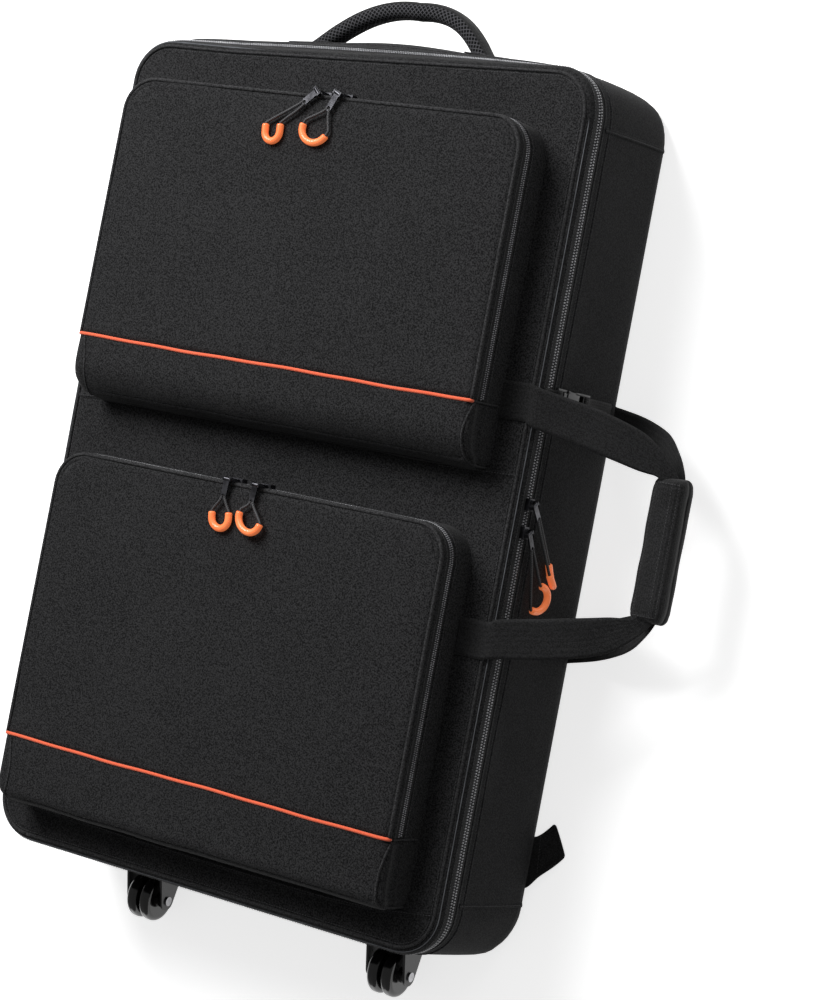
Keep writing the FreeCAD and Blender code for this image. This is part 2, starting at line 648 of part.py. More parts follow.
def make_link(name, placement):
    """A flat link with an eye for the cord, and a barrel that turns on the slider's pin."""
    body = doc.addObject("PartDesign::Body", f"{name}_link_plate")
    sketch = new_sketch(body, f"{name}_link_outline", -dims.link_thick / 2)
    rounded_rectangle(sketch, dims.link_width, dims.link_length, dims.link_width / 2.1,
                      dims.link_width / 7)
    inset = dims.link_eye_inset
    hole = Part.Circle(Vector(0, inset.value, 0), Vector(0, 0, 1), dims.link_eye.value)
    eye = sketch.addGeometry(hole, False)
    sketch.addConstraint(Sketcher.Constraint("PointOnObject", eye, 3, -2))
    constrain(sketch, "eye", Sketcher.Constraint("Radius", eye, dims.link_eye.value), dims.link_eye)
    constrain(sketch, "eye_lift", Sketcher.Constraint("DistanceY", -1, 1, eye, 3, inset.value), inset)
    pad(body, sketch, dims.link_thick)
    body.Placement = placement.multiply(Placement(Vector(0, -dims.link_length.value, 0), Rotation()))
    half = dims.link_width / 2
    barrel = rod(f"{name}_barrel", dims.link_barrel, dims.link_width, -half, 0, 0, (0, 1, 0), 90)
    bore = rod(f"{name}_bore", dims.link_pin + dims.link_pin_clearance, dims.link_width + 2,
               -half - 1, 0, 0, (0, 1, 0), 90)
    blank = fuse(f"{name}_link_blank", [body, moved(barrel, placement)])
    node(f"{name}_link", cut(f"{name}_link", blank, moved(bore, placement)))


def make_slider(name, body, column, placement):
    """The slider's body and column, with two cheeks and a pin that carry the link's barrel."""
    near = dims.link_width / 2 + dims.cheek_gap
    far = near + dims.link_cheek
    lift = dims.link_barrel
    floor = -lift - dims.saddle_gap
    bottom = floor - dims.saddle_thick
    pieces = [body, column]
    for sign in (-1, 1):
        low, high = (near, far) if sign > 0 else (-far, -near)
        cheek = box(f"{name}_cheek_{sign + 1}", (low, -lift, bottom), (high, lift, lift))
        pieces.append(moved(cheek, placement))
    saddle = box(f"{name}_saddle", (-far, -lift, bottom), (far, lift, floor))
    pin = rod(f"{name}_pin", dims.link_pin, far * 2, -far, 0, 0, (0, 1, 0), 90)
    pieces += [moved(saddle, placement), moved(pin, placement)]
    node(f"{name}_slider", fuse(f"{name}_slider", pieces))


def make_pull(name, drop, placement):
    """The link, the cord loop and the moulded tip of one pull, hanging along its own -Y."""
    make_link(name, placement)
    cord = tube(rounded_route(cord_points(drop)), dims.cord_radius.value)
    loop = doc.addObject("Part::Feature", f"{name}_cord")
    loop.Shape = cord
    loop.Placement = placement
    node(f"{name}_cord", loop)

    bend = dims.tip_bend.value
    top = -drop + 3
    arc = Part.Arc(Vector(-bend, top, 0), Vector(0, top - bend, 0), Vector(bend, top, 0))
    moulded = doc.addObject("Part::Feature", f"{name}_tip")
    moulded.Shape = tube(Part.Wire([arc.toShape()]), dims.tip_radius.value).cut(cord)
    moulded.Placement = placement
    node(f"{name}_tip", moulded)


# Each pocket pull lies on the flap, hinged at the front edge: x, swing in the flap's plane, drop.
POCKET_PULLS = {
    "upper_left": ("upper", -1, -46, 62), "upper_right": ("upper", 26, -25, 46),
    "lower_left": ("lower", -24, -3, 38), "lower_right": ("lower", 14, -4, 44),
}
lie = pocket_front + dims.pull_lift
half_long = dims.slider_length / 2
half_wide = dims.slider_width / 2
for name, (pocket, x, swing, drop) in POCKET_PULLS.items():
    head = getattr(dims, f"{pocket}_foot") + getattr(dims, f"{pocket}_height")
    low = head + dims.slider_gap
    body = box(f"{name}_slider_body", (x - half_long, low, zip_level - half_wide),
               (x + half_long, low + dims.slider_thick, zip_level + half_wide))
    column = box(f"{name}_column", (x - dims.column_half, low, zip_level),
                 (x + dims.column_half, low + dims.column_depth, lie - dims.saddle_drop))
    hinge = Vector(x, head.value + dims.pull_head_gap.value, lie.value)
    turned = Placement(hinge, Rotation(Vector(0, 0, 1), swing))
    make_slider(name, body, column, turned)
    make_pull(name, drop, turned)

# Each main pull lies beside the right wall, hinged on its slider: y, swing in the wall's plane, drop.
SIDE_PULLS = {"main_upper": (22, -45, 88), "main_lower": (-8, -36, 74)}
out = half_width + dims.slider_thick + dims.column_depth
for name, (y, swing, drop) in SIDE_PULLS.items():
    body = box(f"{name}_slider_body", (half_width, y - half_long, split - half_wide),
               (half_width + dims.slider_thick, y + half_long, split + half_wide))
    upright = Rotation(Vector(0, 1, 0), 90).multiply(Rotation(Vector(0, 0, 1), -swing))
    turned = Placement(Vector(out.value, y, split.value), upright)
    side_half = dims.side_column_half
    column = box(f"{name}_column", (half_width, y - side_half, split - side_half),
                 (out - dims.saddle_drop, y + side_half, split + side_half))
    make_slider(name, body, column, turned)
    make_pull(name, drop, turned)

# ---------------------------------------------------------------- checks and export

doc.recompute()
for thing in doc.Objects:
    if "Invalid" in thing.State or "Error" in thing.State:
        raise RuntimeError(f"{thing.Name} failed: {thing.State}")
os.makedirs("parts", exist_ok=True)
for name, thing in nodes.items():
    shape = thing.Shape
    if shape.isNull() or not shape.isValid() or shape.Volume <= 0:
        raise RuntimeError(f"{name} has no valid solid")
    shape.exportStep(f"parts/{name}.step")
    print(name, len(shape.Solids), round(shape.Volume))
print(len(nodes), "nodes")
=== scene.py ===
import math

import bmesh
import bpy
import numpy as np
from mathutils import Matrix, Vector
from mathutils.bvhtree import BVHTree


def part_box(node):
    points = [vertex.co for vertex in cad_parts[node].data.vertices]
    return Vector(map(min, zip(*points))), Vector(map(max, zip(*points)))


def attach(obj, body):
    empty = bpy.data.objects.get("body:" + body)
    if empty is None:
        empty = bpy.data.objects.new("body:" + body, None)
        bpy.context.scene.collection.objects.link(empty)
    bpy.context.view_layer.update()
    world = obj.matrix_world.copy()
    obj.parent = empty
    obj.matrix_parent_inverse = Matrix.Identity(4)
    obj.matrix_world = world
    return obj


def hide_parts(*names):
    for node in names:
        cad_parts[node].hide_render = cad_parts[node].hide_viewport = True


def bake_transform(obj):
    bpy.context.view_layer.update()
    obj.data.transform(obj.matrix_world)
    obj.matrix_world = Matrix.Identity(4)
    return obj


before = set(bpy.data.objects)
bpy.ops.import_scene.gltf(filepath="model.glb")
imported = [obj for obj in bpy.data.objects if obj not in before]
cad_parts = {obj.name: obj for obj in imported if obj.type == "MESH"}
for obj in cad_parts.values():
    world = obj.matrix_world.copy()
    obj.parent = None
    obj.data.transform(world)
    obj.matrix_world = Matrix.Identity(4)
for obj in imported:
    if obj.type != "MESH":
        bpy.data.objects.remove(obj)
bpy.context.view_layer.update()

# The looks of a rolling portfolio case that lies on its back: +X carrying handle, +Y top handle, +Z front.
MM = 0.001

# ------------------------------------------------------------ places, read from the frame

WALL, HALF_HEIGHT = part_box("back_shell")[1][:2]      # the case's right wall and top wall
CASE_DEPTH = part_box("lid_shell")[1].z
MIDDLE = CASE_DEPTH / 2
ZIP_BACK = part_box("main_zip_back")[0].z
ZIP_START, _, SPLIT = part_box("main_zip_lid")[0]      # where the main zip begins, and where it parts
ZIP_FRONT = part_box("main_zip_lid")[1].z
CASE_CORNER = 50 * MM
POCKET_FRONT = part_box("upper_pocket_flap")[1].z
POCKET_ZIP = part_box("upper_flap_zip")[0].z
POCKET_ZIP_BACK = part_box("upper_pocket_zip")[0].z
POCKET_ZIP_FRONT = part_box("upper_flap_zip")[1].z
POCKET_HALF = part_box("upper_pocket_body")[1].x
POCKET_CORNER = 38 * MM
POCKET_FOOT_CORNER = 14 * MM
BUCKLE_LOW, BUCKLE_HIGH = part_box("buckle_tongue")
BUCKLE_Y = (BUCKLE_LOW.y + BUCKLE_HIGH.y) / 2
SOCKET_LOW, SOCKET_TOP = (corner.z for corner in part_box("buckle_socket"))


# ------------------------------------------------------------ camera

CAMERA_ANGLES = (31.075, 1.088, 10.598)   # degrees: round to the right, up, and rolled
CAMERA_LENS = 92.97                       # mm
CAMERA_SENSOR = 36                        # mm
CAMERA_AWAY = 3.112                       # distance and shift to the right, in heights of the case
CAMERA_ASIDE = 0.109


def add_camera():
    """The camera at the photograph's place: turned to the right, a little above, and rolled."""
    azimuth, elevation, roll = (math.radians(angle) for angle in CAMERA_ANGLES)
    back = Vector((math.sin(azimuth) * math.cos(elevation), math.sin(elevation),
                   math.cos(azimuth) * math.cos(elevation)))
    right = Vector((math.cos(azimuth), 0, -math.sin(azimuth)))
    up = back.cross(right)
    height = HALF_HEIGHT * 2
    data = bpy.data.cameras.new("camera")
    data.sensor_width = CAMERA_SENSOR
    data.lens = CAMERA_LENS
    data.clip_start = 0.05
    data.clip_end = 60
    camera = bpy.data.objects.new("camera", data)
    bpy.context.scene.collection.objects.link(camera)
    axis_x = right * math.cos(roll) + up * math.sin(roll)
    axis_y = up * math.cos(roll) - right * math.sin(roll)
    turned = Matrix((axis_x, axis_y, back)).transposed().to_4x4()
    turned.translation = back * CAMERA_AWAY * height + right * CAMERA_ASIDE * height + Vector((0, 0, MIDDLE))
    camera.matrix_world = turned
    bpy.context.scene.camera = camera


add_camera()


# ------------------------------------------------------------ materials

NOISE_TURN = (0.7, 0.5, 0.3)     # keeps the cells of a noise from lining up with flat faces
BANDS = 3.2                      # a wave node's bands in one unit of length, at scale 1


def linear(red, green, blue):
    """A colour given as it shows on a screen, 0 to 255, as the linear values that nodes take."""
    return [((value / 255 + 0.055) / 1.055) ** 2.4 if value > 10 else value / 255 / 12.92
            for value in (red, green, blue)] + [1.0]


class Nodes:
    """A material's node tree, with short calls for the nodes that these materials use."""

    def __init__(self, name, roughness, specular=0.5, metallic=0.0):
        self.material = bpy.data.materials.new(name)
        self.material.use_nodes = True
        self.tree = self.material.node_tree
        self.shader = self.tree.nodes["Principled BSDF"]
        self.place = self.tree.nodes.new("ShaderNodeTexCoord")
        self.surface({"Roughness": roughness, "Specular IOR Level": specular, "Metallic": metallic})

    def surface(self, inputs):
        self.fill(self.shader, inputs)

    def fill(self, node, inputs):
        """Gives a node's inputs plain values, or links them to what other nodes give."""
        for name, value in inputs.items():
            if isinstance(value, bpy.types.NodeSocket):
                self.tree.links.new(value, node.inputs[name])
            else:
                node.inputs[name].default_value = value

    def node(self, kind, output, inputs):
        made = self.tree.nodes.new(f"ShaderNode{kind}")
        self.fill(made, inputs)
        return made.outputs[output]

    def mapped(self, source, scale=(1, 1, 1), turn=(0, 0, 0)):
        return self.node("Mapping", "Vector", {"Vector": self.place.outputs[source], "Scale": scale,
                                               "Rotation": turn})

    def noise(self, scale, detail=3, roughness=0.6):
        place = self.mapped("Object", turn=NOISE_TURN)
        return self.node("TexNoise", "Fac", {"Scale": scale, "Detail": detail, "Roughness": roughness,
                                             "Vector": place})

    def wave(self, scale, direction="DIAGONAL", distortion=0.0, source="Object", stretch=(1, 1, 1)):
        place = self.mapped(source, stretch)
        fac = self.node("TexWave", "Fac", {"Scale": scale, "Distortion": distortion, "Vector": place})
        fac.node.bands_direction = direction
        return fac

    def math(self, kind, first, second):
        value = self.node("Math", 0, {0: first, 1: second})
        value.node.operation = kind
        return value

    def mix(self, first, second, share):
        """share of the first value, and what is left of 1 of the second."""
        return self.math("ADD", self.math("MULTIPLY", first, share), self.math("MULTIPLY", second, 1 - share))

    def colour(self, factor, dark, light, start=0.36, end=0.64):
        """The base colour: dark below start, light above end, and a ramp between them."""
        colour = self.node("ValToRGB", "Color", {"Fac": factor})
        elements = colour.node.color_ramp.elements
        for element, place, shade in zip(elements, (start, end), (dark, light)):
            element.position = place
            element.color = linear(*shade)
        self.surface({"Base Color": colour})

    def roughness(self, factor, low, high):
        self.surface({"Roughness": self.node("MapRange", "Result", {"Value": factor, "To Min": low,
                                                                    "To Max": high})})

    def bump(self, height, strength, distance):
        self.surface({"Normal": self.node("Bump", "Normal", {"Strength": strength, "Distance": distance,
                                                             "Height": height})})

    def sheen(self, weight):
        self.surface({"Sheen Weight": weight, "Sheen Roughness": 0.5})


def fabric(name, dark, light, grain=620, weave=1.1 * MM, sheen=0.04, roughness=0.9, depth=0.45):
    """Woven polyester: crossed threads, a fine fleck and slow changes of shade."""
    nodes = Nodes(name, roughness, specular=0.12)
    fleck = nodes.noise(grain, detail=1, roughness=0.5)
    nodes.colour(nodes.mix(fleck, nodes.noise(9), 0.94), dark, light)
    warp, weft = (nodes.wave(1 / weave / BANDS, distortion=0.6, stretch=(1, way, 1)) for way in (1, -1))
    threads = nodes.math("MULTIPLY", nodes.math("MULTIPLY", warp, weft), 0.25)
    nodes.bump(nodes.math("ADD", threads, nodes.math("MULTIPLY", fleck, 0.9)), depth, 0.25 * MM)
    nodes.sheen(sheen)
    return nodes.material


def webbing(name, dark, light, rib=1.7 * MM, sheen=0.2):
    """Webbing: short ribs across its width, over slow rows along it."""
    nodes = Nodes(name, 0.85, specular=0.25)
    fleck = nodes.noise(640, detail=1, roughness=0.5)
    nodes.colour(nodes.mix(fleck, nodes.noise(14, detail=2), 0.8), dark, light)
    ribs, rows = (nodes.wave(1 / pitch / BANDS, direction, 0.4, "UV")
                  for pitch, direction in ((rib, "X"), (rib * 1.6, "Y")))
    nodes.bump(nodes.math("ADD", nodes.math("MULTIPLY", ribs, rows), fleck), 0.7, 0.4 * MM)
    nodes.sheen(sheen)
    return nodes.material


def moulded(name, dark, light, roughness, grain=1500, depth=0.1, specular=0.5, coat=0.0, painted_glow=0.0):
    """Moulded plastic or rubber: a slow change of shade, a fine grain and a wear-like change of gloss; any
    emission it is given is a painted glow, light the part gives off though it is no lamp.
    """
    nodes = Nodes(name, roughness, specular)
    nodes.colour(nodes.noise(45, detail=4), dark, light)
    nodes.roughness(nodes.noise(160), roughness * 0.8, min(1.0, roughness * 1.25))
    nodes.bump(nodes.noise(grain, detail=2), depth, 0.1 * MM)
    nodes.surface({"Coat Weight": coat, "Emission Color": linear(*light), "Emission Strength": painted_glow})
    return nodes.material


def metal(name, dark, light, roughness):
    nodes = Nodes(name, roughness, metallic=1.0)
    nodes.colour(nodes.noise(60, detail=2), dark, light)
    nodes.roughness(nodes.noise(120, detail=2), roughness * 0.85, roughness * 1.2)
    return nodes.material


def braid(name, dark, light, pitch=1.6 * MM):
    """A braided cord: two diagonal families of strands."""
    nodes = Nodes(name, 0.6, specular=0.4)
    scale = 1 / pitch / BANDS
    strands = nodes.math("MAXIMUM", *[nodes.wave(scale, stretch=(1, way, way)) for way in (1, -1)])
    nodes.colour(strands, dark, light, 0.2, 0.9)
    nodes.bump(strands, 0.6, 0.3 * MM)
    return nodes.material


def air_mesh(name, dark, light, pitch=5.6 * MM):
    """Padded spacer mesh: a net of crossed threads over dark open cells."""
    nodes = Nodes(name, 0.8, specular=0.1)
    threads = nodes.math("MAXIMUM", *[nodes.wave(0.628 / pitch, source="UV", stretch=(1, way, 1))
                                      for way in (1, -1)])
    shade = nodes.math("ADD", threads, nodes.math("MULTIPLY", nodes.noise(700, detail=1), 0.25))
    nodes.colour(nodes.math("MULTIPLY", shade, 0.85), dark, light, 0.7, 0.96)
    nodes.bump(threads, 0.9, 0.8 * MM)
    nodes.sheen(0.03)
    return nodes.material


# Each material's kind, its dark and light colours as a screen shows them, and what else sets it apart.
LOOKS = {
    "case_fabric": (fabric, (13, 13, 14), (50, 50, 51), {}),
    # Welts and seam cords are in a fabric lighter than the case: a painted highlight along their raised
    # edges.
    "gusset_fabric": (fabric, (30, 30, 31), (62, 62, 63), {"weave": 0.9 * MM, "depth": 0.3}),
    "lining_fabric": (fabric, (44, 45, 48), (62, 63, 67),
                      {"weave": 0.6 * MM, "sheen": 0.3, "roughness": 0.6}),
    "mesh_black": (air_mesh, (4, 4, 5), (76, 76, 79), {}),
    "foam_padding": (moulded, (70, 72, 76), (92, 94, 98), {"roughness": 0.95, "grain": 700, "depth": 0.8}),
    "board_plastic": (moulded, (26, 27, 28), (38, 39, 41), {"roughness": 0.5}),
    "zip_tape": (webbing, (12, 12, 13), (26, 26, 27), {"rib": 1.2 * MM, "sheen": 0.05}),
    # The zip teeth are coloured pale grey: a painted highlight on teeth that are dark.
    "zip_black": (moulded, (128, 128, 132), (176, 176, 180), {"roughness": 0.28, "specular": 0.8}),
    "webbing_black": (webbing, (8, 8, 9), (40, 40, 41), {"sheen": 0.1}),
    "wheel_plastic": (moulded, (9, 9, 10), (16, 16, 17), {"roughness": 0.16, "depth": 0.03, "coat": 0.6}),
    "bracket_plastic": (moulded, (10, 10, 11), (20, 20, 21), {"roughness": 0.28, "coat": 0.3}),
    "rivet_steel": (metal, (150, 150, 152), (205, 205, 208), {"roughness": 0.25}),
    "slider_metal": (metal, (52, 52, 55), (92, 92, 96), {"roughness": 0.34}),
    "cord_black": (braid, (22, 22, 23), (66, 66, 68), {}),
    "thread_black": (moulded, (48, 48, 49), (76, 76, 78), {"roughness": 0.7, "grain": 2500, "depth": 0.4}),
    # The tips' emission is a painted glow that brightens them where they lie in shade.
    "tip_orange": (moulded, (255, 116, 58), (255, 138, 82),
                   {"roughness": 0.36, "depth": 0.12, "coat": 0.2, "painted_glow": 0.36}),
    "piping_orange": (fabric, (226, 84, 50), (250, 120, 82),
                      {"grain": 1400, "weave": 1.3 * MM, "sheen": 0.35, "roughness": 0.7, "depth": 0.8}),
    "buckle_plastic": (moulded, (10, 10, 11), (20, 20, 21), {"roughness": 0.34, "depth": 0.15}),
}
MATERIALS = {name: kind(name, dark, light, **more) for name, (kind, dark, light, more) in LOOKS.items()}


# ------------------------------------------------------------ mesh helpers

def link_mesh(name, mesh, material=None):
    if material:
        mesh.materials.append(MATERIALS[material])
    thing = bpy.data.objects.new(name, mesh)
    bpy.context.scene.collection.objects.link(thing)
    return thing


def mesh_from(name, points, faces):
    mesh = bpy.data.meshes.new(name)
    mesh.from_pydata(points.tolist(), [], faces)
    return mesh


def finish_mesh(thing, outward=None, weld=0.0):
    """Welds touching points, makes the faces' normals agree and turns them away from a centre."""
    work = bmesh.new()
    work.from_mesh(thing.data)
    if weld:
        bmesh.ops.remove_doubles(work, verts=work.verts, dist=weld)
        bmesh.ops.dissolve_degenerate(work, edges=work.edges, dist=weld / 2)
    bmesh.ops.recalc_face_normals(work, faces=work.faces)
    if outward is not None:
        centre = Vector(outward)
        facing = sum(face.normal.dot(face.calc_center_median() - centre) * face.calc_area()
                     for face in work.faces)
        if facing < 0:
            bmesh.ops.reverse_faces(work, faces=work.faces)
    work.to_mesh(thing.data)
    work.free()
    thing.data.polygons.foreach_set("use_smooth", [True] * len(thing.data.polygons))
    return thing


def thicken(thing, thickness):
    """Gives an open sheet its thickness, on the side away from its normals."""
    solid = thing.modifiers.new("solid", "SOLIDIFY")
    solid.thickness = thickness
    solid.offset = -1
    solid.use_even_offset = False
    bpy.context.view_layer.update()
    graph = bpy.context.evaluated_depsgraph_get()
    made = bpy.data.meshes.new_from_object(thing.evaluated_get(graph), preserve_all_data_layers=True,
                                           depsgraph=graph)
    thing.modifiers.clear()
    thing.data = made


def quads(index, following):
    """Faces between rows of points: each row's points, the same points moved one on, and the next row."""
    return np.stack([index[:-1], following[:-1], following[1:], index[1:]], axis=-1).reshape(-1, 4).tolist()


def run(points):
    """How far along a path each of its points is."""
    return np.concatenate([[0], np.cumsum(np.linalg.norm(np.diff(points, axis=0), axis=1))])


def lofted(name, rings, material):
    """A mesh through closed rings of points, with its ends closed and its cloth laid out in UV."""
    rings = np.asarray(rings, float)
    count, around = rings.shape[:2]
    index = np.arange(count * around).reshape(count, around)
    faces = quads(index, np.roll(index, -1, axis=1)) + [index[0][::-1].tolist(), index[-1].tolist()]
    mesh = mesh_from(name, rings.reshape(-1, 3), faces)
    along = run(rings.mean(axis=1))
    middle = rings[count // 2]
    across = run(np.vstack([middle, middle[:1]]))
    grid = np.zeros((count - 1, around, 4, 2), np.float32)
    grid[:, :, :2, 0] = along[:-1, None, None]
    grid[:, :, 2:, 0] = along[1:, None, None]
    grid[:, :, [0, 3], 1] = across[:-1, None]
    grid[:, :, [1, 2], 1] = across[1:, None]
    values = np.zeros(len(mesh.loops) * 2, np.float32)
    values[:grid.size] = grid.ravel()
    mesh.uv_layers.new(name="cloth").data.foreach_set("uv", values)
    return finish_mesh(link_mesh(name, mesh, material))


def evenly(points, count):
    """Points at even distances along a path."""
    lengths = run(points)
    places = np.linspace(0, lengths[-1], count)
    return np.stack([np.interp(places, lengths, values) for values in points.T], axis=1)


def spline(points, count):
    """A smooth curve through the points, as evenly spaced points along it."""
    points = np.asarray(points, float)
    ends = np.vstack([2 * points[0] - points[1], points, 2 * points[-1] - points[-2]])
    steps = np.linspace(0, 1, 24, endpoint=False)[:, None]
    dense = [0.5 * (2 * p1 + (p2 - p0) * steps + (2 * p0 - 5 * p1 + 4 * p2 - p3) * steps ** 2
                    + (3 * p1 - p0 - 3 * p2 + p3) * steps ** 3)
             for p0, p1, p2, p3 in zip(ends, ends[1:], ends[2:], ends[3:])]
    return evenly(np.vstack(dense + [points[-1:]]), count)


def unit(vectors):
    return vectors / np.linalg.norm(vectors, axis=-1, keepdims=True)


def along_of(path):
    """The direction of a path at each of its points."""
    return unit(np.gradient(path, axis=0))


def same(direction, points):
    """One direction, for each of the points."""
    return np.tile(np.array(direction, float), (len(points), 1))


def ramp(values, start, length):
    """0 below start, 1 from start + length on."""
    return np.clip((values - start) / length, 0, 1)


def vertex_values(thing, kind):
    values = np.zeros(len(thing.data.vertices) * 3, np.float32)
    thing.data.vertices.foreach_get(kind, values)
    return values.reshape(-1, 3).astype(float)


def soften(thing, amount, length, seed, where=lambda points: 1.0):
    """Moves the points in and out a little, as cloth over padding is never quite even."""
    points = vertex_values(thing, "co")
    random = np.random.default_rng(seed)
    lift = np.zeros(len(points))
    waves = 6
    for _ in range(waves):
        direction = unit(random.normal(size=3))
        wave = 2 * math.pi / length * random.uniform(0.6, 1.5)
        lift += np.sin(points @ direction * wave + random.uniform(0, 2 * math.pi))
    lift *= amount / math.sqrt(waves) * where(points)
    moved = points + vertex_values(thing, "normal") * lift[:, None]
    thing.data.vertices.foreach_set("co", moved.astype(np.float32).ravel())
    thing.data.update()


def surface_of(thing):
    """The piece's surface as it is now, for placing other pieces on it."""
    work = bmesh.new()
    work.from_mesh(thing.data)
    tree = BVHTree.FromBMesh(work)
    work.free()
    return tree


def onto(surface, points, outward, lift=0.0):
    """Points dropped against outward onto a surface; those that miss it keep their neighbours' level."""
    outward = Vector(outward).normalized()
    landed = [surface.ray_cast(Vector(point) + outward * 0.2, -outward, 0.6)[0] for point in points]
    found = [k for k, hit in enumerate(landed) if hit is not None]
    for k, hit in enumerate(landed):
        if hit is None:
            near = landed[min(found, key=lambda other: abs(other - k))]
            point = Vector(points[k])
            landed[k] = point + outward * (near - point).dot(outward)
    return np.array([hit + outward * lift for hit in landed])


def join(name, things):
    """Several meshes as one piece."""
    work = bmesh.new()
    materials = []
    for thing in things:
        start = len(work.faces)
        work.from_mesh(thing.data)
        work.faces.ensure_lookup_table()
        for face in work.faces[start:]:
            face.material_index += len(materials)
        materials += list(thing.data.materials)
    mesh = bpy.data.meshes.new(name)
    work.to_mesh(mesh)
    work.free()
    for material in materials:
        mesh.materials.append(material)
    for thing in things:
        bpy.data.objects.remove(thing)
    return link_mesh(name, mesh)


def note(thing, replaces=()):
    """Hides the CAD nodes that a piece stands for; the piece itself is not used."""
    if replaces:
        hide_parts(*replaces)


def settle(thing, body, replaces=()):
    """Gives a finished piece its body, and hides the CAD nodes it stands for."""
    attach(thing, body)
    note(thing, replaces)


# ------------------------------------------------------------ rounded outlines and padded shells

def section(level, *steps):
    """Part of a wall's section: offsets outwards, and heights above a level, both given in mm."""
    return [(offset * MM, level + rise * MM) for offset, rise in steps]


def quarter(radius, start, end, steps, centre):
    """Part of a circle in offset and height, from one angle to another in degrees."""
    return [(centre[0] + radius * math.cos(math.radians(t)), centre[1] + radius * math.sin(math.radians(t)))
            for t in np.linspace(start, end, steps)]


class Plan:
    """A rounded rectangle as rows from its foot to its head, and its edge as one loop with normals."""

    def __init__(self, half, low, high, foot, head, step, marks=()):
        def angles(radius):
            return np.linspace(0, math.pi / 2, max(6, round(radius / step * 1.8)) + 1)

        rows = [(low + foot * (1 - math.cos(t)), half - foot * (1 - math.sin(t)), math.sin(t), -math.cos(t))
                for t in angles(foot)]
        first, last = low + foot, high - head
        levels = [level for level in np.linspace(first, last, round((last - first) / step) + 1)[1:-1]
                  if all(abs(level - mark) > step * 0.45 for mark in marks)]
        rows += [(level, half, 1.0, 0.0) for level in sorted(levels + list(marks))]
        rows += [(high - head * (1 - math.sin(t)), half - head * (1 - math.cos(t)), math.cos(t), math.sin(t))
                 for t in angles(head)]
        self.rows = np.array(rows)
        self.columns = np.linspace(-1, 1, round(half * 2 / step) | 1)

    def grid(self, inset):
        """Points inside the outline drawn in by inset: rows by columns by two."""
        level, half, side, up = self.rows.T
        x = (half - inset * side)[:, None] * self.columns[None, :]
        y = np.broadcast_to((level - inset * up)[:, None], x.shape)
        return np.stack([x, y], axis=-1)

    def loop(self):
        """The outline's points and outward normals, anticlockwise from the lower left."""
        level, half, side, up = self.rows.T
        bottom = np.stack([self.columns * half[0], np.full(len(self.columns), level[0])], axis=1)
        top = np.stack([self.columns[::-1] * half[-1], np.full(len(self.columns), level[-1])], axis=1)
        right, left = (np.stack([half * way, level], axis=1)[1:-1] for way in (1, -1))
        right_normals, left_normals = (np.stack([side * way, up], axis=1)[1:-1] for way in (1, -1))
        down = same([0, -1], bottom)
        return (np.vstack([bottom, right, top, left[::-1]]),
                np.vstack([down, right_normals, -down, left_normals[::-1]]))


def shell_faces(plan, profile, face_height):
    """Points and faces of walls that follow the outline by profile, and the panel that closes them."""
    edge, normals = plan.loop()
    around = len(edge)
    points = np.vstack([np.column_stack([edge + normals * offset, np.full(around, z)])
                        for offset, z in profile])
    index = np.arange(len(points)).reshape(len(profile), around)
    faces = quads(index, np.roll(index, -1, axis=1))
    flat = plan.grid(-profile[-1][0])
    cell = np.arange(flat[..., 0].size).reshape(flat.shape[:2]) + len(points)
    flat = flat.reshape(-1, 2)
    panel = np.column_stack([flat, face_height(flat)])
    faces += quads(cell[:, :-1], cell[:, 1:])
    return np.vstack([points, panel]), faces


def sheet_piece(name, points, faces, centre, keep=None):
    """An open sheet from points and faces; keep says, by each face's middle, which faces it has."""
    if keep is not None:
        middles = np.array([points[face].mean(axis=0) for face in faces])
        faces = [face for face, kept in zip(faces, keep(middles)) if kept]
    mesh = mesh_from(name, points, faces)
    thing = link_mesh(name, mesh, "case_fabric")
    work = bmesh.new()
    work.from_mesh(mesh)
    bmesh.ops.delete(work, geom=[vert for vert in work.verts if not vert.link_faces], context="VERTS")
    work.to_mesh(mesh)
    work.free()
    return finish_mesh(thing, centre, 0.02 * MM)


def path_part(edge, normals, keep):
    """The stretch of a closed loop that keep allows, in order."""
    kept = keep(edge)
    first = next(i for i in range(len(edge)) if kept[i] and not kept[i - 1])
    order = np.roll(np.arange(len(edge)), -first)
    order = order[kept[order]]
    return edge[order], normals[order]


def band(name, edge, normals, profile, material, thickness, shape):
    """A strip that follows part of an outline, with a profile of offset and height."""
    points = np.array([np.column_stack([edge + normals * offset, np.full(len(edge), z)])
                       for offset, z in profile])
    points = shape(points.reshape(-1, 3)).reshape(points.shape)
    inner = points - np.column_stack([normals, np.zeros(len(normals))])[None] * thickness
    ring = np.concatenate([points, inner[::-1]], axis=0)
    return lofted(name, ring.transpose(1, 0, 2), material)


def tube_along(name, points, radius, material, sides=10, taper=0):
    """A round tube along a path; its ends can narrow."""
    points = np.asarray(points, float)
    direction = along_of(points)
    side = np.zeros_like(points)
    guide = np.array([0.0, 0.0, 1.0]) if abs(direction[0][2]) < 0.9 else np.array([1.0, 0.0, 0.0])
    for k in range(len(points)):
        guide = guide - direction[k] * (guide @ direction[k])
        guide = guide / np.linalg.norm(guide)
        side[k] = guide
    other = np.cross(direction, side)
    turns = np.linspace(0, 2 * math.pi, sides, endpoint=False)
    size = np.full(len(points), radius)
    for k in range(taper):
        share = math.sqrt(1 - (1 - (k + 0.35) / taper) ** 2)
        size[k] *= share
        size[-1 - k] *= share
    rings = (points[:, None, :] + (side[:, None, :] * np.cos(turns)[None, :, None]
             + other[:, None, :] * np.sin(turns)[None, :, None]) * size[:, None, None])
    return lofted(name, rings, material)


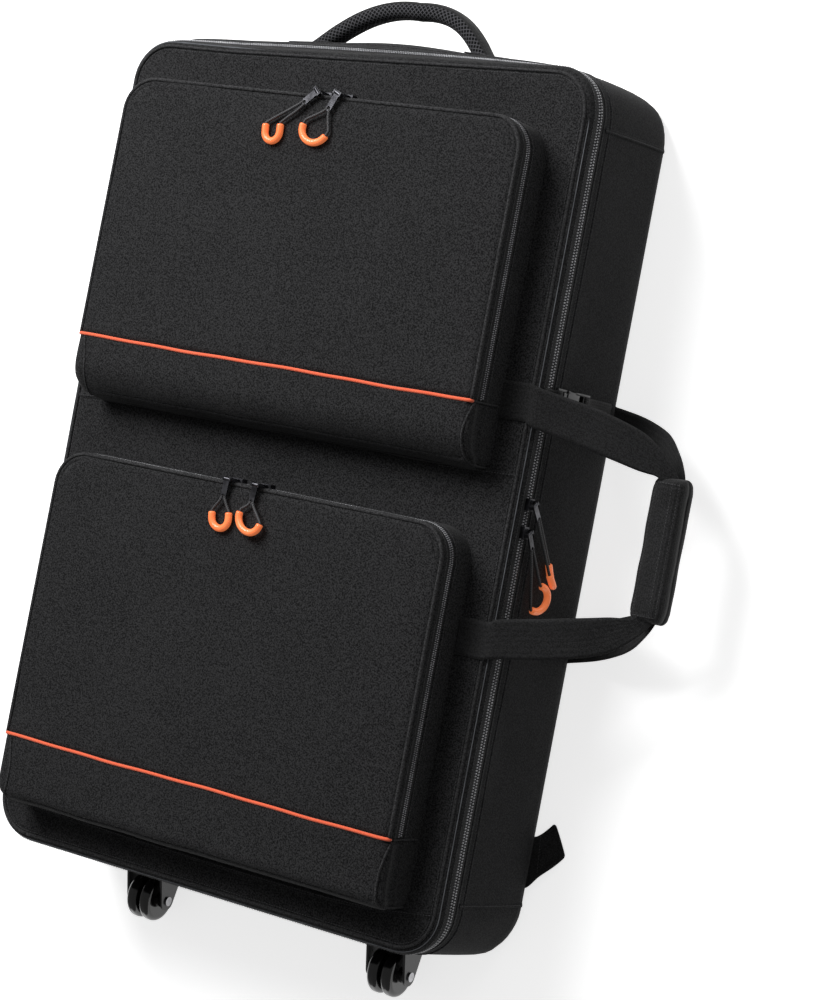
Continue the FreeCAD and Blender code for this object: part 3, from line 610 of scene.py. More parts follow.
def capsule(sides=6):
    """A small rounded rod along X, of length 1 and radius 1, as points and faces."""
    turns = [2 * math.pi * k / sides for k in range(sides)]
    points = [(x, radius * math.cos(turn), radius * math.sin(turn))
              for x, radius in ((-0.5, 0.45), (-0.36, 0.95), (0.36, 0.95), (0.5, 0.45)) for turn in turns]
    last = len(points) - sides
    faces = [(ring + k, ring + (k + 1) % sides, ring + (k + 1) % sides + sides, ring + k + sides)
             for ring in range(0, last, sides) for k in range(sides)]
    return np.array(points), faces + [tuple(range(sides))[::-1], tuple(range(last, last + sides))]


def rods(name, centres, along, up, length, radius, material, flat):
    """Many small rounded rods, such as zip teeth or stitches, as one mesh."""
    base, base_faces = capsule()
    along = unit(along)
    side = unit(np.cross(up, along))
    up = np.cross(along, side)
    points = (centres[:, None, :]
              + along[:, None, :] * (base[None, :, 0:1] * length)
              + side[:, None, :] * (base[None, :, 1:2] * radius)
              + up[:, None, :] * (base[None, :, 2:3] * radius * flat)).reshape(-1, 3)
    count = len(base)
    faces = [tuple(corner + k * count for corner in face)
             for k in range(len(centres)) for face in base_faces]
    return finish_mesh(link_mesh(name, mesh_from(name, points, faces), material))


def along_path(points, normals, pitch, phase=0.0):
    """Points at one pitch along a path, with the direction of the path and the outward normals."""
    lengths = run(points)
    places = np.arange(pitch * (0.5 + phase), lengths[-1], pitch)

    def at(values, where):
        return np.stack([np.interp(where, lengths, values[:, axis]) for axis in range(3)], axis=1)

    direction = unit(at(points, places + pitch * 0.2) - at(points, places - pitch * 0.2))
    return at(points, places), direction, unit(at(normals, places))


def stitched(name, points, normals):
    centres, direction, outward = along_path(points, normals, 3.4 * MM)
    return rods(name, centres, direction, outward, 2.4 * MM, 0.3 * MM, "thread_black", flat=0.7)


def level_path(edge, normals, offset, z, shape):
    """A path at one height along an outline, moved as shape says, with its outward normals."""
    points = np.column_stack([edge + normals * offset, np.full(len(edge), z)])
    return shape(points), np.column_stack([normals, np.zeros(len(normals))])


def make_zip(name, edge, normals, centre, halves, sizes, shape):
    """A coil zip: both halves of its tape, their teeth, and the stitches that hold them."""
    for half, body, away, level, node in halves:
        strip = section(level, *[(offset, away * rise) for offset, rise in sizes["outer"]])
        strip += section(centre + away * sizes["gap"] * MM, *[(offset, away * rise)
                                                              for offset, rise in sizes["inner"]])
        tape = band(f"{name}_zip_tape_{half}", edge, normals, strip, "zip_tape", sizes["thick"] * MM, shape)
        settle(tape, body, [node])
        offset, rise, pitch, reach, radius = (size * MM for size in sizes["teeth"])
        row = level_path(edge, normals, offset, centre + away * rise, shape)
        centres, direction, outward = along_path(*row, pitch, 0 if away > 0 else 0.5)
        across = np.cross(direction, outward) + direction * 0.18
        # The teeth take the pale zip material, a painted highlight.
        teeth = rods(f"{name}_zip_teeth_{half}", centres, across, outward, reach, radius, "zip_black", 0.9)
        settle(teeth, body)
        offset, rise = (size * MM for size in sizes["seam"])
        seam = level_path(edge, normals, offset, level + away * rise, shape)
        settle(stitched(f"{name}_zip_stitches_{half}", *seam), body)


def seam_tube(name, path, radius, body, **more):
    """A fabric-covered cord along a path, such as a welt or the edge of a seam, in the lighter fabric that
    paints a highlight along it.
    """
    settle(tube_along(name, path, radius, "gusset_fabric", **more), body)


# ------------------------------------------------------------ case body

TOP_RISE = 4.2 * MM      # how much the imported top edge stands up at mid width
TOP_SLOPE = 0.028        # and how it climbs towards the handle's side
TOP_LEAST = -0.6 * MM    # and how low it may come at the other side
DOME = 24 * MM           # how far the top handle draws the top wall out
SAG = 8 * MM             # how far the base hangs at the right rear corner
BULGE = 4.2 * MM         # how far the side walls stand out between the zip and the rear edge
FACE_LIFT = 0.9 * MM     # the lid's face above its rim, and each pocket's face at its middle
CASE_MIDDLE = (0, 0, MIDDLE)
MAIN_ZIP = {"outer": [(-0.5, 1.5), (-0.1, -1.5), (0.1, -4)], "inner": [(-0.2, 3.4), (-0.9, 0)], "gap": 0.9,
            "thick": 0.8, "teeth": (0.3, 2.7, 3.1, 3.0, 1.1), "seam": (0.8, 1.6)}      # all in mm


def slumped(points):
    """The case's true outline: its top edge climbs to one side, its top wall is domed, a corner hangs."""
    x, y, z = points.T
    moved = points.copy()
    top = ramp(y, 0.8 * HALF_HEIGHT, 0.18 * HALF_HEIGHT)
    rise = np.maximum(TOP_RISE + TOP_SLOPE * x, TOP_LEAST) * top * top * (3 - 2 * top)
    across = np.clip(1 - ((x + 0.03) / 0.285) ** 2, 0, 1) ** 0.7
    through = np.sin(math.pi * ramp(z, 0, ZIP_FRONT)) ** 0.8
    moved[:, 1] += rise + DOME * across * through * ramp(y, HALF_HEIGHT - 0.03, 0.025)
    hang = ramp(-y, HALF_HEIGHT - 0.03, 0.025) * ramp(x, 0.16, 0.08) * ramp(-z, -ZIP_BACK, 0.13)
    moved[:, 1] -= SAG * hang * np.clip(z / 0.01, 0.4, 1)
    return moved


case_plan = Plan(WALL, -HALF_HEIGHT, HALF_HEIGHT, CASE_CORNER, CASE_CORNER, 9 * MM)
case_loop = case_plan.loop()
zip_path = path_part(*case_loop, lambda edge: edge[:, 0] > ZIP_START)
hinge_path = path_part(*case_loop, lambda edge: edge[:, 0] < ZIP_START + 4 * MM)


def make_body_fabric():
    radius = 7 * MM
    profile = section(ZIP_BACK, (-1.4, 1.2), (0.2, 0.9), (0.8, 0), (0.7, -1.2), (0.1, -2.4))
    profile += [(BULGE * math.sin(math.pi * (z / ZIP_BACK) ** 0.6) ** 0.7, z)
                for z in np.linspace(ZIP_BACK - 5 * MM, radius, 16)]
    profile += quarter(radius, 0, -90, 9, (-radius, radius))[1:]
    points, faces = shell_faces(case_plan, profile, lambda flat: np.zeros(len(flat)))
    piece = sheet_piece("body_fabric", slumped(points), faces, CASE_MIDDLE)
    soften(piece, 1.3 * MM, 0.19, 11,
           lambda p: ramp(p[:, 2], 6 * MM, 0.03) * ramp(-p[:, 2], -ZIP_BACK, 0.03))
    surface = surface_of(piece)
    thicken(piece, 1.8 * MM)
    settle(piece, "case", ["back_shell"])
    return surface


def make_lid_fabric():
    radius = 8 * MM
    profile = section(ZIP_FRONT, (-1.4, -1.2), (0.2, -0.9), (0.7, 0), (0.4, 0.8))
    profile += quarter(radius, 6, 86, 8, (-radius, CASE_DEPTH - radius))
    profile += section(CASE_DEPTH, (-8.6, 0.2), (-9.5, 0), (-10.9, 0.2), (-13, 0.6), (-16.5, 0.9))
    points, faces = shell_faces(case_plan, profile, lambda flat: np.full(len(flat), CASE_DEPTH + FACE_LIFT))
    piece = sheet_piece("lid_fabric", slumped(points), faces, CASE_MIDDLE)
    soften(piece, 0.5 * MM, 0.14, 23, lambda p: ramp(p[:, 2], CASE_DEPTH, FACE_LIFT))
    surface = surface_of(piece)
    thicken(piece, 1.6 * MM)
    settle(piece, "lid", ["lid_shell"])
    closed = [np.vstack([values, values[:1]]) for values in case_loop]
    seam_tube("lid_edge_piping", level_path(*closed, -7.6 * MM, CASE_DEPTH + 0.4 * MM, slumped)[0],
              1.7 * MM, "lid")
    seam = level_path(*closed, -11.6 * MM, CASE_DEPTH + 0.75 * MM, slumped)[0]
    settle(stitched("lid_edge_stitches", seam, same([0, 0, 1], seam)), "lid")
    return surface


def make_hinge_fabric():
    heights = np.linspace(ZIP_BACK - 3 * MM, ZIP_FRONT + 1 * MM, 14)
    profile = [(0.1 * MM if z in (heights[0], heights[-1]) else 0.5 * MM, z) for z in heights]
    piece = band("hinge_fabric", *hinge_path, profile, "case_fabric", 1.2 * MM, slumped)
    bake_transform(piece)
    note(piece, ["hinge_strip"])


def make_edge_seam(surface):
    """The seam on the body that holds the outer edge of the zip's tape, and its stitches."""
    def line(depth):
        points, outward = level_path(*zip_path, 0, ZIP_BACK - depth, slumped)
        laid = [onto(surface, [point], normal) for point, normal in zip(points, outward)]
        return np.vstack(laid), outward

    seam_tube("body_edge_seam", line(12.5 * MM)[0], 1.5 * MM, "case", taper=3)
    settle(stitched("body_edge_stitches", *line(9.6 * MM)), "case")


# A lapped seam's section, in mm: the folded edge of one panel on the next.
LAP = [(0, -0.8), (0, 0.7), (0.5, 1.15), (1.6, 1.1), (4.5, 0.5), (6.5, -0.8)]


def make_seam(name, points, outward, surface, body, drop):
    """A lapped seam, with a row of stitches beside its edge."""
    path = onto(surface, spline(points, 60), outward)
    outward = same(outward, path)
    aside = unit(np.cross(along_of(path), outward)) * drop
    rings = np.stack([path + aside * across * MM + outward * height * MM for across, height in LAP], axis=1)
    settle(lofted(name, rings, "case_fabric"), body)
    settle(stitched(f"{name}_stitches", path + aside * 2.4 * MM + outward * 1.05 * MM, outward), body)


def make_seams(body_surface, lid_surface):
    """The seams across the side walls and across the lid beside the pockets."""
    sides = ((1, "right"), (-1, "left"))
    for side, label in sides:
        for level, rise, end in ((421 * MM, 5 * MM, "upper"), (-411 * MM, -6.5 * MM, "lower")):
            depths = np.linspace(ZIP_BACK - 4 * MM, 5 * MM, 7)
            wall = [(side * (WALL + 0.1), level + rise * (1 - z / ZIP_BACK), z) for z in depths]
            make_seam(f"wall_seam_{end}_{label}", wall, (side, 0, 0), body_surface, "case", -side)
    sky = CASE_DEPTH + 0.1
    edge = WALL - 8 * MM
    for side, label in sides:
        line = [(side * x, 51.5 * MM + side * 0.05 * (x - 0.28), sky) for x in np.linspace(0.2, edge, 6)]
        make_seam(f"lid_seam_upper_{label}", line, (0, 0, 1), lid_surface, "lid", side)
    foot = [(-edge, -425), (-0.1, -430), (0.12, -431), (0.2, -428.5), (0.25, -423.5), (edge, -417)]
    make_seam("lid_seam_lower", [(x, y * MM, sky) for x, y in foot], (0, 0, 1), lid_surface, "lid", 1)


body_surface = make_body_fabric()
lid_surface = make_lid_fabric()
make_hinge_fabric()
make_zip("main", *zip_path, SPLIT, (("back", "case", -1, ZIP_BACK, "main_zip_back"),
                                    ("lid", "lid", 1, ZIP_FRONT, "main_zip_lid")), MAIN_ZIP, slumped)
make_edge_seam(body_surface)
make_seams(body_surface, lid_surface)


# ------------------------------------------------------------ front pockets

POCKETS = {name: {"low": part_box(f"{name}_pocket_body")[0].y, "high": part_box(f"{name}_pocket_flap")[1].y,
                  "fold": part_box(f"{name}_pocket_flap")[0].y} for name in ("upper", "lower")}
# How far up the pocket's foot is rounded, and how much of its depth is left at the very foot.
FOOT_ROUND = {"upper": (42 * MM, 0.2), "lower": (17 * MM, 0.55)}
POCKET_COIL = {"outer": [(-0.6, 1), (-0.1, -1)], "inner": [(-0.1, 2.6), (-0.7, 0)], "gap": 0.8, "thick": 0.7,
               "teeth": (0.35, 1.9, 2.4, 2.3, 0.8), "seam": (0.95, 2.6)}      # all in mm


def pocket_shape(name):
    """Leans the walls in a little and rounds the front back to the case at the pocket's foot."""
    reach, least = FOOT_ROUND[name]
    foot, high = POCKETS[name]["low"], POCKETS[name]["high"]

    def shape(points):
        x, y, z = points.T
        moved = points.copy()
        rise = ramp(z, CASE_DEPTH, POCKET_FRONT - CASE_DEPTH)
        level = ramp(y, foot, high - foot)
        stands = np.sin(math.pi / 2 * np.clip(rise * 2.2, 0, 1)) * np.clip(level / 0.06, 0, 1)
        slack = np.where(x > 0, -2.5 * MM - 2 * MM * rise, -2.5 * MM - 5 * MM * (1 - level))
        moved[:, 0] += np.clip(np.abs(x) / POCKET_HALF * 4 - 3, 0, 1) * stands * slack
        share = least + (1 - least) * np.sqrt(1 - (1 - ramp(y, foot, reach)) ** 2)
        moved[:, 2] = np.where(z > CASE_DEPTH, CASE_DEPTH + (z - CASE_DEPTH) * share, z)
        return moved

    return shape


def pocket_profile():
    """The pocket's wall, from the lid to the welt at its front edge, and on to the front panel."""
    wall = POCKET_ZIP_BACK - CASE_DEPTH - 2.5 * MM
    bow = [(0.9 * MM * math.sin(math.pi * k / 6), CASE_DEPTH + 1.5 * MM + wall * k / 6) for k in range(1, 6)]
    return (section(CASE_DEPTH, (1.4, -0.6), (0.3, 1.2)) + bow
            + section(POCKET_ZIP_BACK, (0.7, -0.9), (-0.5, 0))
            + section(POCKET_ZIP_FRONT, (-0.5, 0), (0.7, 0.9), (0.7, 3.5))
            + section(POCKET_FRONT, (0.2, -5.8), (-1, -4.6), (-2.2, -3.3), (-3.8, -2.9), (-5.4, -1.6),
                      (-9, -1.1)))


def make_pocket(name):
    low, high, fold = (POCKETS[name][level] for level in ("low", "high", "fold"))
    marks = [fold] + [low + 4 * MM * k for k in range(4, 11)]
    plan = Plan(POCKET_HALF, low, high, POCKET_FOOT_CORNER, POCKET_CORNER, 7 * MM, marks)
    shape = pocket_shape(name)
    profile = pocket_profile()

    def face_height(flat):
        side = 1 - ramp(POCKET_HALF - np.abs(flat[:, 0]), 9 * MM, 0.05)
        head = 1 - ramp(high - flat[:, 1], 9 * MM, 0.04)
        return profile[-1][1] + (1 - np.maximum(side, head) ** 2) * FACE_LIFT

    points, faces = shell_faces(plan, profile, face_height)
    points = shape(points)
    centre = (0, (low + high) / 2, CASE_DEPTH)
    body = sheet_piece(f"{name}_pocket_gusset", points, faces, centre,
                       lambda p: (p[:, 1] < fold) | (p[:, 2] < POCKET_ZIP_BACK + 0.2 * MM))
    flap = sheet_piece(f"{name}_pocket_front", points, faces, centre,
                       lambda p: (p[:, 1] > fold) & (p[:, 2] > POCKET_ZIP_FRONT - 0.2 * MM))
    surface = surface_of(body)
    for piece, seed, rider, node in ((body, 31, "lid", "body"), (flap, 37, f"{name}_flap", "flap")):
        soften(piece, 0.45 * MM, 0.11, seed + len(name),
               lambda p: ramp(np.abs(p[:, 1] - fold), 0, 0.02) * ramp(p[:, 2], CASE_DEPTH, 0.01))
        thicken(piece, 1.5 * MM)
        settle(piece, rider, [f"{name}_pocket_{node}"])

    path, outward = path_part(*plan.loop(), lambda loop: loop[:, 1] > fold - 0.1 * MM)
    make_zip(name, path, outward, POCKET_ZIP,
             (("back", "lid", -1, POCKET_ZIP_BACK, f"{name}_pocket_zip"),
              ("front", f"{name}_flap", 1, POCKET_ZIP_FRONT, f"{name}_flap_zip")), POCKET_COIL, shape)
    welt = level_path(path, outward, -1.5 * MM, POCKET_FRONT - 3.2 * MM, shape)[0]
    seam_tube(f"{name}_flap_welt", welt, 2 * MM, f"{name}_flap")
    make_piping(name, fold, shape)
    make_foot_seams(name, fold, low, surface)


def make_piping(name, fold, shape):
    """The orange cord in its sleeve along the fold, which dips into the gusset at both ends."""
    half = POCKET_HALF - 0.5 * MM
    z = POCKET_FRONT - 0.3 * MM
    ends = [(-half, z - 6 * MM), (-half + 1.2 * MM, z - 2.2 * MM), (-half + 5 * MM, z - 0.5 * MM)]
    line = ends + [(x, z + 0.2 * MM * math.sin(x * 31)) for x in np.linspace(-half + 0.015, half - 0.015, 40)]
    line += [(-x, height) for x, height in reversed(ends)]
    points = [(x, fold - 1.9 * MM + 0.5 * MM * math.sin(x * 23 + 1) + 0.25 * MM * math.sin(x * 71), height)
              for x, height in line]
    path = spline(shape(np.array(points)), 400)
    settle(tube_along(f"{name}_piping", path, 1.95 * MM, "piping_orange", sides=14, taper=3), "lid",
           ["pocket_piping"])
    flange = (path - [0, 3 * MM, 0.9 * MM])[6:-6]
    seam_tube(f"{name}_piping_seam", flange, 0.8 * MM, "lid", sides=8)


# The seam at each side of the foot: how far in from the side, in mm, at each share of the way down.
FOOT_LINE = [(3.5, 0.05), (6, 0.2), (9, 0.42), (9.5, 0.66), (7.5, 0.86), (3, 0.97)]


def make_foot_seams(name, fold, foot, surface):
    """Below the fold: the seam down each side's front edge, and the one that crosses the gusset."""
    seams = []
    for side in (-1, 1):
        line = spline([(side * (POCKET_HALF - inset * MM), fold - share * (fold - foot), POCKET_FRONT)
                       for inset, share in FOOT_LINE], 60)
        wall = [(side * (POCKET_HALF + 0.02), fold - 2 * MM, z)
                for z in np.linspace(POCKET_FRONT - 7 * MM, CASE_DEPTH + 4 * MM, 24)]
        for path, outward, lift, radius in ((line, (0, 0, 1), 0.4, 1.25), (wall, (side, 0, 0), 0.3, 1.1)):
            # Seam cords in the lighter fabric, a painted highlight.
            seams.append(tube_along("seam", onto(surface, path, outward, lift * MM), radius * MM,
                                    "gusset_fabric", sides=8, taper=2))
    settle(join(f"{name}_foot_seams", seams), "lid")


for pocket_name in POCKETS:
    make_pocket(pocket_name)


# ------------------------------------------------------------ webbing and handles

def ribbon(name, edge_a, edge_b, count, thickness=1.9 * MM, crown=0.0):
    """A flat band between two edge curves, thinner at its selvedges."""
    columns = 12
    a, b = spline(edge_a, count), spline(edge_b, count)
    up = unit(np.cross(along_of((a + b) / 2), unit(b - a)))
    share = np.linspace(0, 1, columns + 1)
    flat = a[:, None, :] + (b - a)[:, None, :] * share[None, :, None]
    profile = thickness / 2 * np.clip(np.minimum(share, 1 - share) * columns * 0.6 + 0.45, 0, 1)
    arch = crown * np.sin(math.pi * share)
    top, bottom = (flat + up[:, None, :] * (arch + profile * way)[None, :, None] for way in (1, -1))
    return lofted(name, np.concatenate([top, bottom[:, ::-1]], axis=1), "webbing_black")


LOOP_TOP = CASE_DEPTH + 2.2 * MM
LOOP_SLOPE = 0.627       # how fast the straps come together, away from the case
LOOP_SHIFT = 5 * MM      # how far the rear loop has slid up in the grip
REAR_LEAST = 3.2 * MM    # how low the rear loop comes
# The upper half of a loop's outer and inner edges, in mm: away from the case, and up from its middle.
LOOP_OUTER = [(0, 144), (18, 140.5), (37, 137), (55, 133), (74, 127.5), (93, 120.5), (106, 113), (118, 102),
              (130, 88), (139, 70), (141, 45)]
LOOP_INNER = [(0, 102), (18, 97.5), (40, 92.5), (60, 87.5), (80, 82.5), (98, 78), (108, 76.5), (117, 75),
              (123, 68), (124, 56), (124, 40)]


def make_loop(side, roots, front, stands_for):
    """One loop of webbing: both arms, which come in towards the grip, and the stretch inside it."""
    def placed(reach, y):
        x = WALL + reach * MM
        height = LOOP_TOP - LOOP_SLOPE * max(0.0, x - WALL + 1 * MM)
        return (x, y * MM, height if front else max(CASE_DEPTH - height, REAR_LEAST))

    def whole_edge(outline, root_y):
        start = [(WALL + x * MM, root_y * MM, LOOP_TOP if front else z * MM) for x, z in roots]
        half = spline(start + [placed(reach, y) for reach, y in outline], 90)
        edge = np.vstack([half, (half * [1, -1, 1])[::-1]])
        if not front:
            edge[:, 1] += LOOP_SHIFT * ramp(edge[:, 0], WALL, 0.1)
        return edge[::2]

    piece = ribbon(f"handle_webbing_{side}", whole_edge(LOOP_OUTER, 146.5), whole_edge(LOOP_INNER, 106), 260,
                   crown=0.5 * MM)
    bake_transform(piece)
    note(piece, stands_for)


make_loop("front", [(-44, 0), (-24, 0), (-8, 0)], True,
          ["handle_strap_front", "lid_webbing"])
make_loop("rear", [(-7, 3.0), (-3, 3.1)], False, ["handle_strap_rear", "back_webbing"])


def make_grip(side, body, sign):
    """One half of the padded wrap: a crowned pad with a sewn border."""
    low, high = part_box(f"grip_{side}")
    middle = (low.x + high.x) / 2
    half_long = high.y + 1 * MM
    half_wide = (high.x - low.x) / 2
    base = low.z if sign > 0 else high.z
    rings = []
    for y in np.sin(np.linspace(-1, 1, 90) * math.pi / 2) * half_long:
        left = half_long - abs(y)
        end = max(0.03, math.sqrt(1 - (1 - min(1, left / (9 * MM))) ** 2))
        narrow = half_wide * (0.72 + 0.28 * math.sqrt(1 - (1 - min(1, left / (18 * MM))) ** 2))
        ring = []
        for turn in np.linspace(0, math.pi, 34):
            c, s = math.cos(turn), math.sin(turn)
            x = narrow * math.copysign(abs(c) ** 0.62, c)
            border = min(abs(abs(x) - narrow + 5.5 * MM), abs(left - 9 * MM)) / (1.1 * MM)
            groove = 0.9 * MM * math.exp(-border ** 2) if s > 0.3 else 0
            crown = (high.z - low.z) * s ** 0.5 - groove
            ring.append((middle + x, y, base + sign * crown * (0.25 + 0.75 * end)))
        rings.append(ring + [(middle + way * half_wide * 0.5, y, base) for way in (-1, 1)])
    piece = lofted(f"grip_pad_{side}", rings, "webbing_black")
    soften(piece, 0.5 * MM, 0.05, 47 + sign)
    settle(piece, body, [f"grip_{side}"])
    # Rows of stitches round the pad's face, and the seam that closes the wrap along its length.
    surface = surface_of(piece)
    far, near = half_long - 6.5 * MM, half_wide - 5.5 * MM
    corners = [(-near, -far), (near, -far), (near, far), (-near, far), (-near, -far)]
    lines = list(zip(corners, corners[1:])) + [((near - 7 * MM, -far), (near - 7 * MM, far))]
    rows = []
    for start, end in lines:
        line = [(middle + x, y, base + sign * 0.1) for x, y in np.linspace(start, end, 40)]
        rows.append(stitched("row", onto(surface, line, (0, 0, sign), 0.1 * MM), same([0, 0, sign], line)))
    settle(join(f"grip_stitches_{side}", rows), body)


make_grip("front", "front_handle", 1)
make_grip("rear", "rear_handle", -1)

HANDLE_RADIUS = 139.4 * MM
HANDLE_CENTRE = 402.6 * MM
HANDLE_THICK = 10.2 * MM     # half of the sleeve's section, outwards and across
HANDLE_WIDE = 13 * MM
LEAN = 16 * MM               # how far the handle's crown leans to the right
FLARE = 9 * MM               # how far its ends spread
BINDING = 0.55               # the outer part of its section, by cosine, that smooth cloth covers


def make_top_handle():
    """A padded sleeve of air mesh on webbing, sewn to the top wall at both ends."""
    reach = math.acos((HALF_HEIGHT + TOP_RISE + 15 * MM - HANDLE_CENTRE) / HANDLE_RADIUS)
    turns = np.linspace(0, 2 * math.pi, 84, endpoint=False)
    rings = []
    for angle in np.linspace(-reach, reach, 360):
        crown = math.cos(angle / reach * math.pi / 2)
        lift = 3.4 * MM * crown ** 0.4 * abs(math.sin(angle / reach * math.pi))
        outward = np.array([math.sin(angle), math.cos(angle), 0])
        middle = np.array([0, HANDLE_CENTRE, MIDDLE]) + outward * (HANDLE_RADIUS + lift)
        middle[0] += LEAN * crown + math.copysign(FLARE * (abs(angle) / reach) ** 8, angle)
        left = (reach - abs(angle)) * HANDLE_RADIUS
        pinch = 0.72 + 0.28 * min(1, left / (24 * MM)) ** 0.7
        ring = []
        for turn in turns:
            c, s = math.cos(turn), math.sin(turn)
            thick = HANDLE_THICK * pinch * math.copysign(abs(c) ** 0.8, c)
            wide = HANDLE_WIDE * math.copysign(abs(s) ** 0.8, s)
            dent = 1 - 0.06 * math.exp(-((c - BINDING) / 0.06) ** 2)
            ring.append(middle + outward * thick * dent + np.array([0, 0, wide * dent]))
        rings.append(ring)
    piece = lofted("top_handle_sleeve", rings, "mesh_black")
    piece.data.materials.append(MATERIALS["webbing_black"])
    bound = np.cos(turns) > BINDING
    for face in piece.data.polygons[:(len(rings) - 1) * len(turns)]:
        face.material_index = int(bound[face.index % len(turns)])
    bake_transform(piece)
    note(piece, ["top_handle_pad", "top_handle_webbing"])
    patches = []
    for sign in (-1, 1):
        edges = [onto(body_surface, [(sign * x * MM, 0.7, MIDDLE + side * 16 * MM)
                                     for x in np.linspace(90, 146, 9)], (0, 1, 0), 1.2 * MM)
                 for side in (-1, 1)]
        patches.append(ribbon("anchor", *edges, 24))
    settle(join("top_handle_patches", patches), "case", ["top_handle_anchors"])


make_top_handle()


# ------------------------------------------------------------ buckle, strap tails

BUCKLE_HALF = 15 * MM
STRAP_HALF = 12.5 * MM


def block(x, y, z, radius):
    """A moulded block with rounded edges, from its two ends along each axis."""
    low, high = (Vector(corner) for corner in zip(x, y, z))
    size, centre = high - low, (high + low) / 2
    work = bmesh.new()
    bmesh.ops.create_cube(work, size=1)
    for vert in work.verts:
        vert.co = Vector((vert.co.x * size.x, vert.co.y * size.y, vert.co.z * size.z)) + centre
    bmesh.ops.bevel(work, geom=work.edges[:], offset=radius, segments=3, profile=0.5, affect="EDGES")
    mesh = bpy.data.meshes.new("block")
    work.to_mesh(mesh)
    work.free()
    mesh.polygons.foreach_set("use_smooth", [True] * len(mesh.polygons))
    return link_mesh("block", mesh, "buckle_plastic")


def around(middle, half):
    return (middle - half, middle + half)


def bar_frame(x, z, thick, bars):
    """A rectangular plastic loop with cross bars."""
    made = [block((x, x + thick * 1.3), around(BUCKLE_Y + sign * (BUCKLE_HALF - thick / 2), thick / 2), z,
                  thick * 0.3) for sign in (-1, 1)]
    return made + [block((x, x + thick * 1.2), around(BUCKLE_Y, BUCKLE_HALF), around(level, thick / 2),
                         thick * 0.3) for level in bars]


def strap(name, body, route, count):
    """Flat webbing over the buckle: a route of places out from the wall, in mm, and heights."""
    edges = [[(WALL + x * MM, y, z) for x, z in route] for y in around(BUCKLE_Y, STRAP_HALF)]
    settle(ribbon(name, *edges, count, 1.5 * MM), body)


def make_buckle():
    x = WALL + 3.6 * MM
    top, out = BUCKLE_HIGH.z, BUCKLE_HIGH.x
    tongue = bar_frame(x, (SOCKET_TOP + 1 * MM, top - 3 * MM), 3.2 * MM,
                       (SOCKET_TOP + 3 * MM, SOCKET_TOP + 11 * MM, top - 5 * MM))
    tongue.append(block((x - 0.3 * MM, out - 0.8 * MM), around(BUCKLE_Y, 12 * MM),
                        (SOCKET_TOP + 0.6 * MM, SOCKET_TOP + 8 * MM), 1.2 * MM))
    for sign in (-1, 1):
        tongue.append(block((x + 0.8 * MM, x + 3 * MM), around(BUCKLE_Y + sign * 6.5 * MM, 1.3 * MM),
                            (SOCKET_TOP - 10 * MM, SOCKET_TOP + 2 * MM), 0.7 * MM))
    settle(join("buckle_tongue_moulding", tongue), "lid", ["buckle_tongue"])
    low = SOCKET_LOW + 6 * MM
    wide = around(BUCKLE_Y, BUCKLE_HALF - 1 * MM)
    deep = (WALL + 0.6 * MM, out)
    socket = [block((out - 1.9 * MM, out), wide, (low, SOCKET_TOP), 0.9 * MM),
              block((WALL + 0.6 * MM, WALL + 2.4 * MM), wide, (low, SOCKET_TOP), 0.8 * MM)]
    for sign in (-1, 1):
        side = around(BUCKLE_Y + sign * (BUCKLE_HALF - 2 * MM), 1.6 * MM)
        socket.append(block(deep, side, (low, low + 10 * MM), 0.7 * MM))
        socket.append(block(deep, side, (SOCKET_TOP - 4 * MM, SOCKET_TOP), 0.7 * MM))
    socket += bar_frame(WALL + 4.2 * MM, (SOCKET_LOW - 20 * MM, low + 3 * MM), 3 * MM,
                        (SOCKET_LOW - 18.5 * MM, SOCKET_LOW - 7 * MM, low + 1.5 * MM))
    settle(join("buckle_socket_moulding", socket), "case", ["buckle_socket"])
    # Webbing: over the lid's edge to the tongue, and from the ladder bar back to the rear edge.
    strap("buckle_strap_front", "lid",
          [(0.6, CASE_DEPTH - 9 * MM), (1.6, ZIP_FRONT - 3 * MM), (2.6, SPLIT), (4.8, top - 1 * MM),
           (8.2, top - 5 * MM), (8.4, SOCKET_TOP + 13 * MM), (5, SOCKET_TOP + 11 * MM)], 50)
    strap("buckle_strap_rear", "case",
          [(6, SOCKET_LOW - 9 * MM), (8.6, SOCKET_LOW - 8 * MM), (8.8, SOCKET_LOW - 16 * MM),
           (5, SOCKET_LOW - 24 * MM), (4.4, 60 * MM), (4.4, 36 * MM), (2.4, 17 * MM), (-3, 6 * MM)], 60)


# A carry tab's two edges and its row of stitches, in mm: out from the wall, along the case, and up.
TAB_HEAD = [(-12, -337, 4.5), (2, -338, 6), (10, -333, 5.4), (17, -325, 3.8), (21, -320, 2.8),
            (24, -321, 2.6)]
TAB_FOOT = [(-12, -392, 4.5), (2, -396, 6), (16, -380, 5.4), (30, -366, 3.8), (40, -354, 2.8),
            (41, -350, 2.6)]
TAB_ROW = [(10, -335, 7.6), (14, -376, 7.6)]


def make_carry_tabs():
    """Folded webbing tabs at the lower rear corners, slanting up, where a shoulder strap clips on."""
    pieces = []
    for sign in (-1, 1):
        head, foot, row = ([((WALL + x * MM) * sign, y * MM, z * MM) for x, y, z in line]
                           for line in (TAB_HEAD, TAB_FOOT, TAB_ROW))
        pieces.append(ribbon("tab", head, foot, 30, crown=0.8 * MM))
        line = np.linspace(*row, 12)
        pieces.append(stitched("row", line, same([0, 0, 1], line)))
    settle(join("carry_tabs", pieces), "case")


make_buckle()
make_carry_tabs()


# ------------------------------------------------------------ zip pulls

CORD_RADIUS = 1.6 * MM
TIP_RADIUS = 3.9 * MM
TIP_LENGTH = 48 * MM
EYE = 19 * MM                        # from the slider to the eye of its link
LIE = POCKET_FRONT + 4.2 * MM        # where a pull lies on a pocket, and on the side wall
SIDE_LIE = WALL + 9 * MM


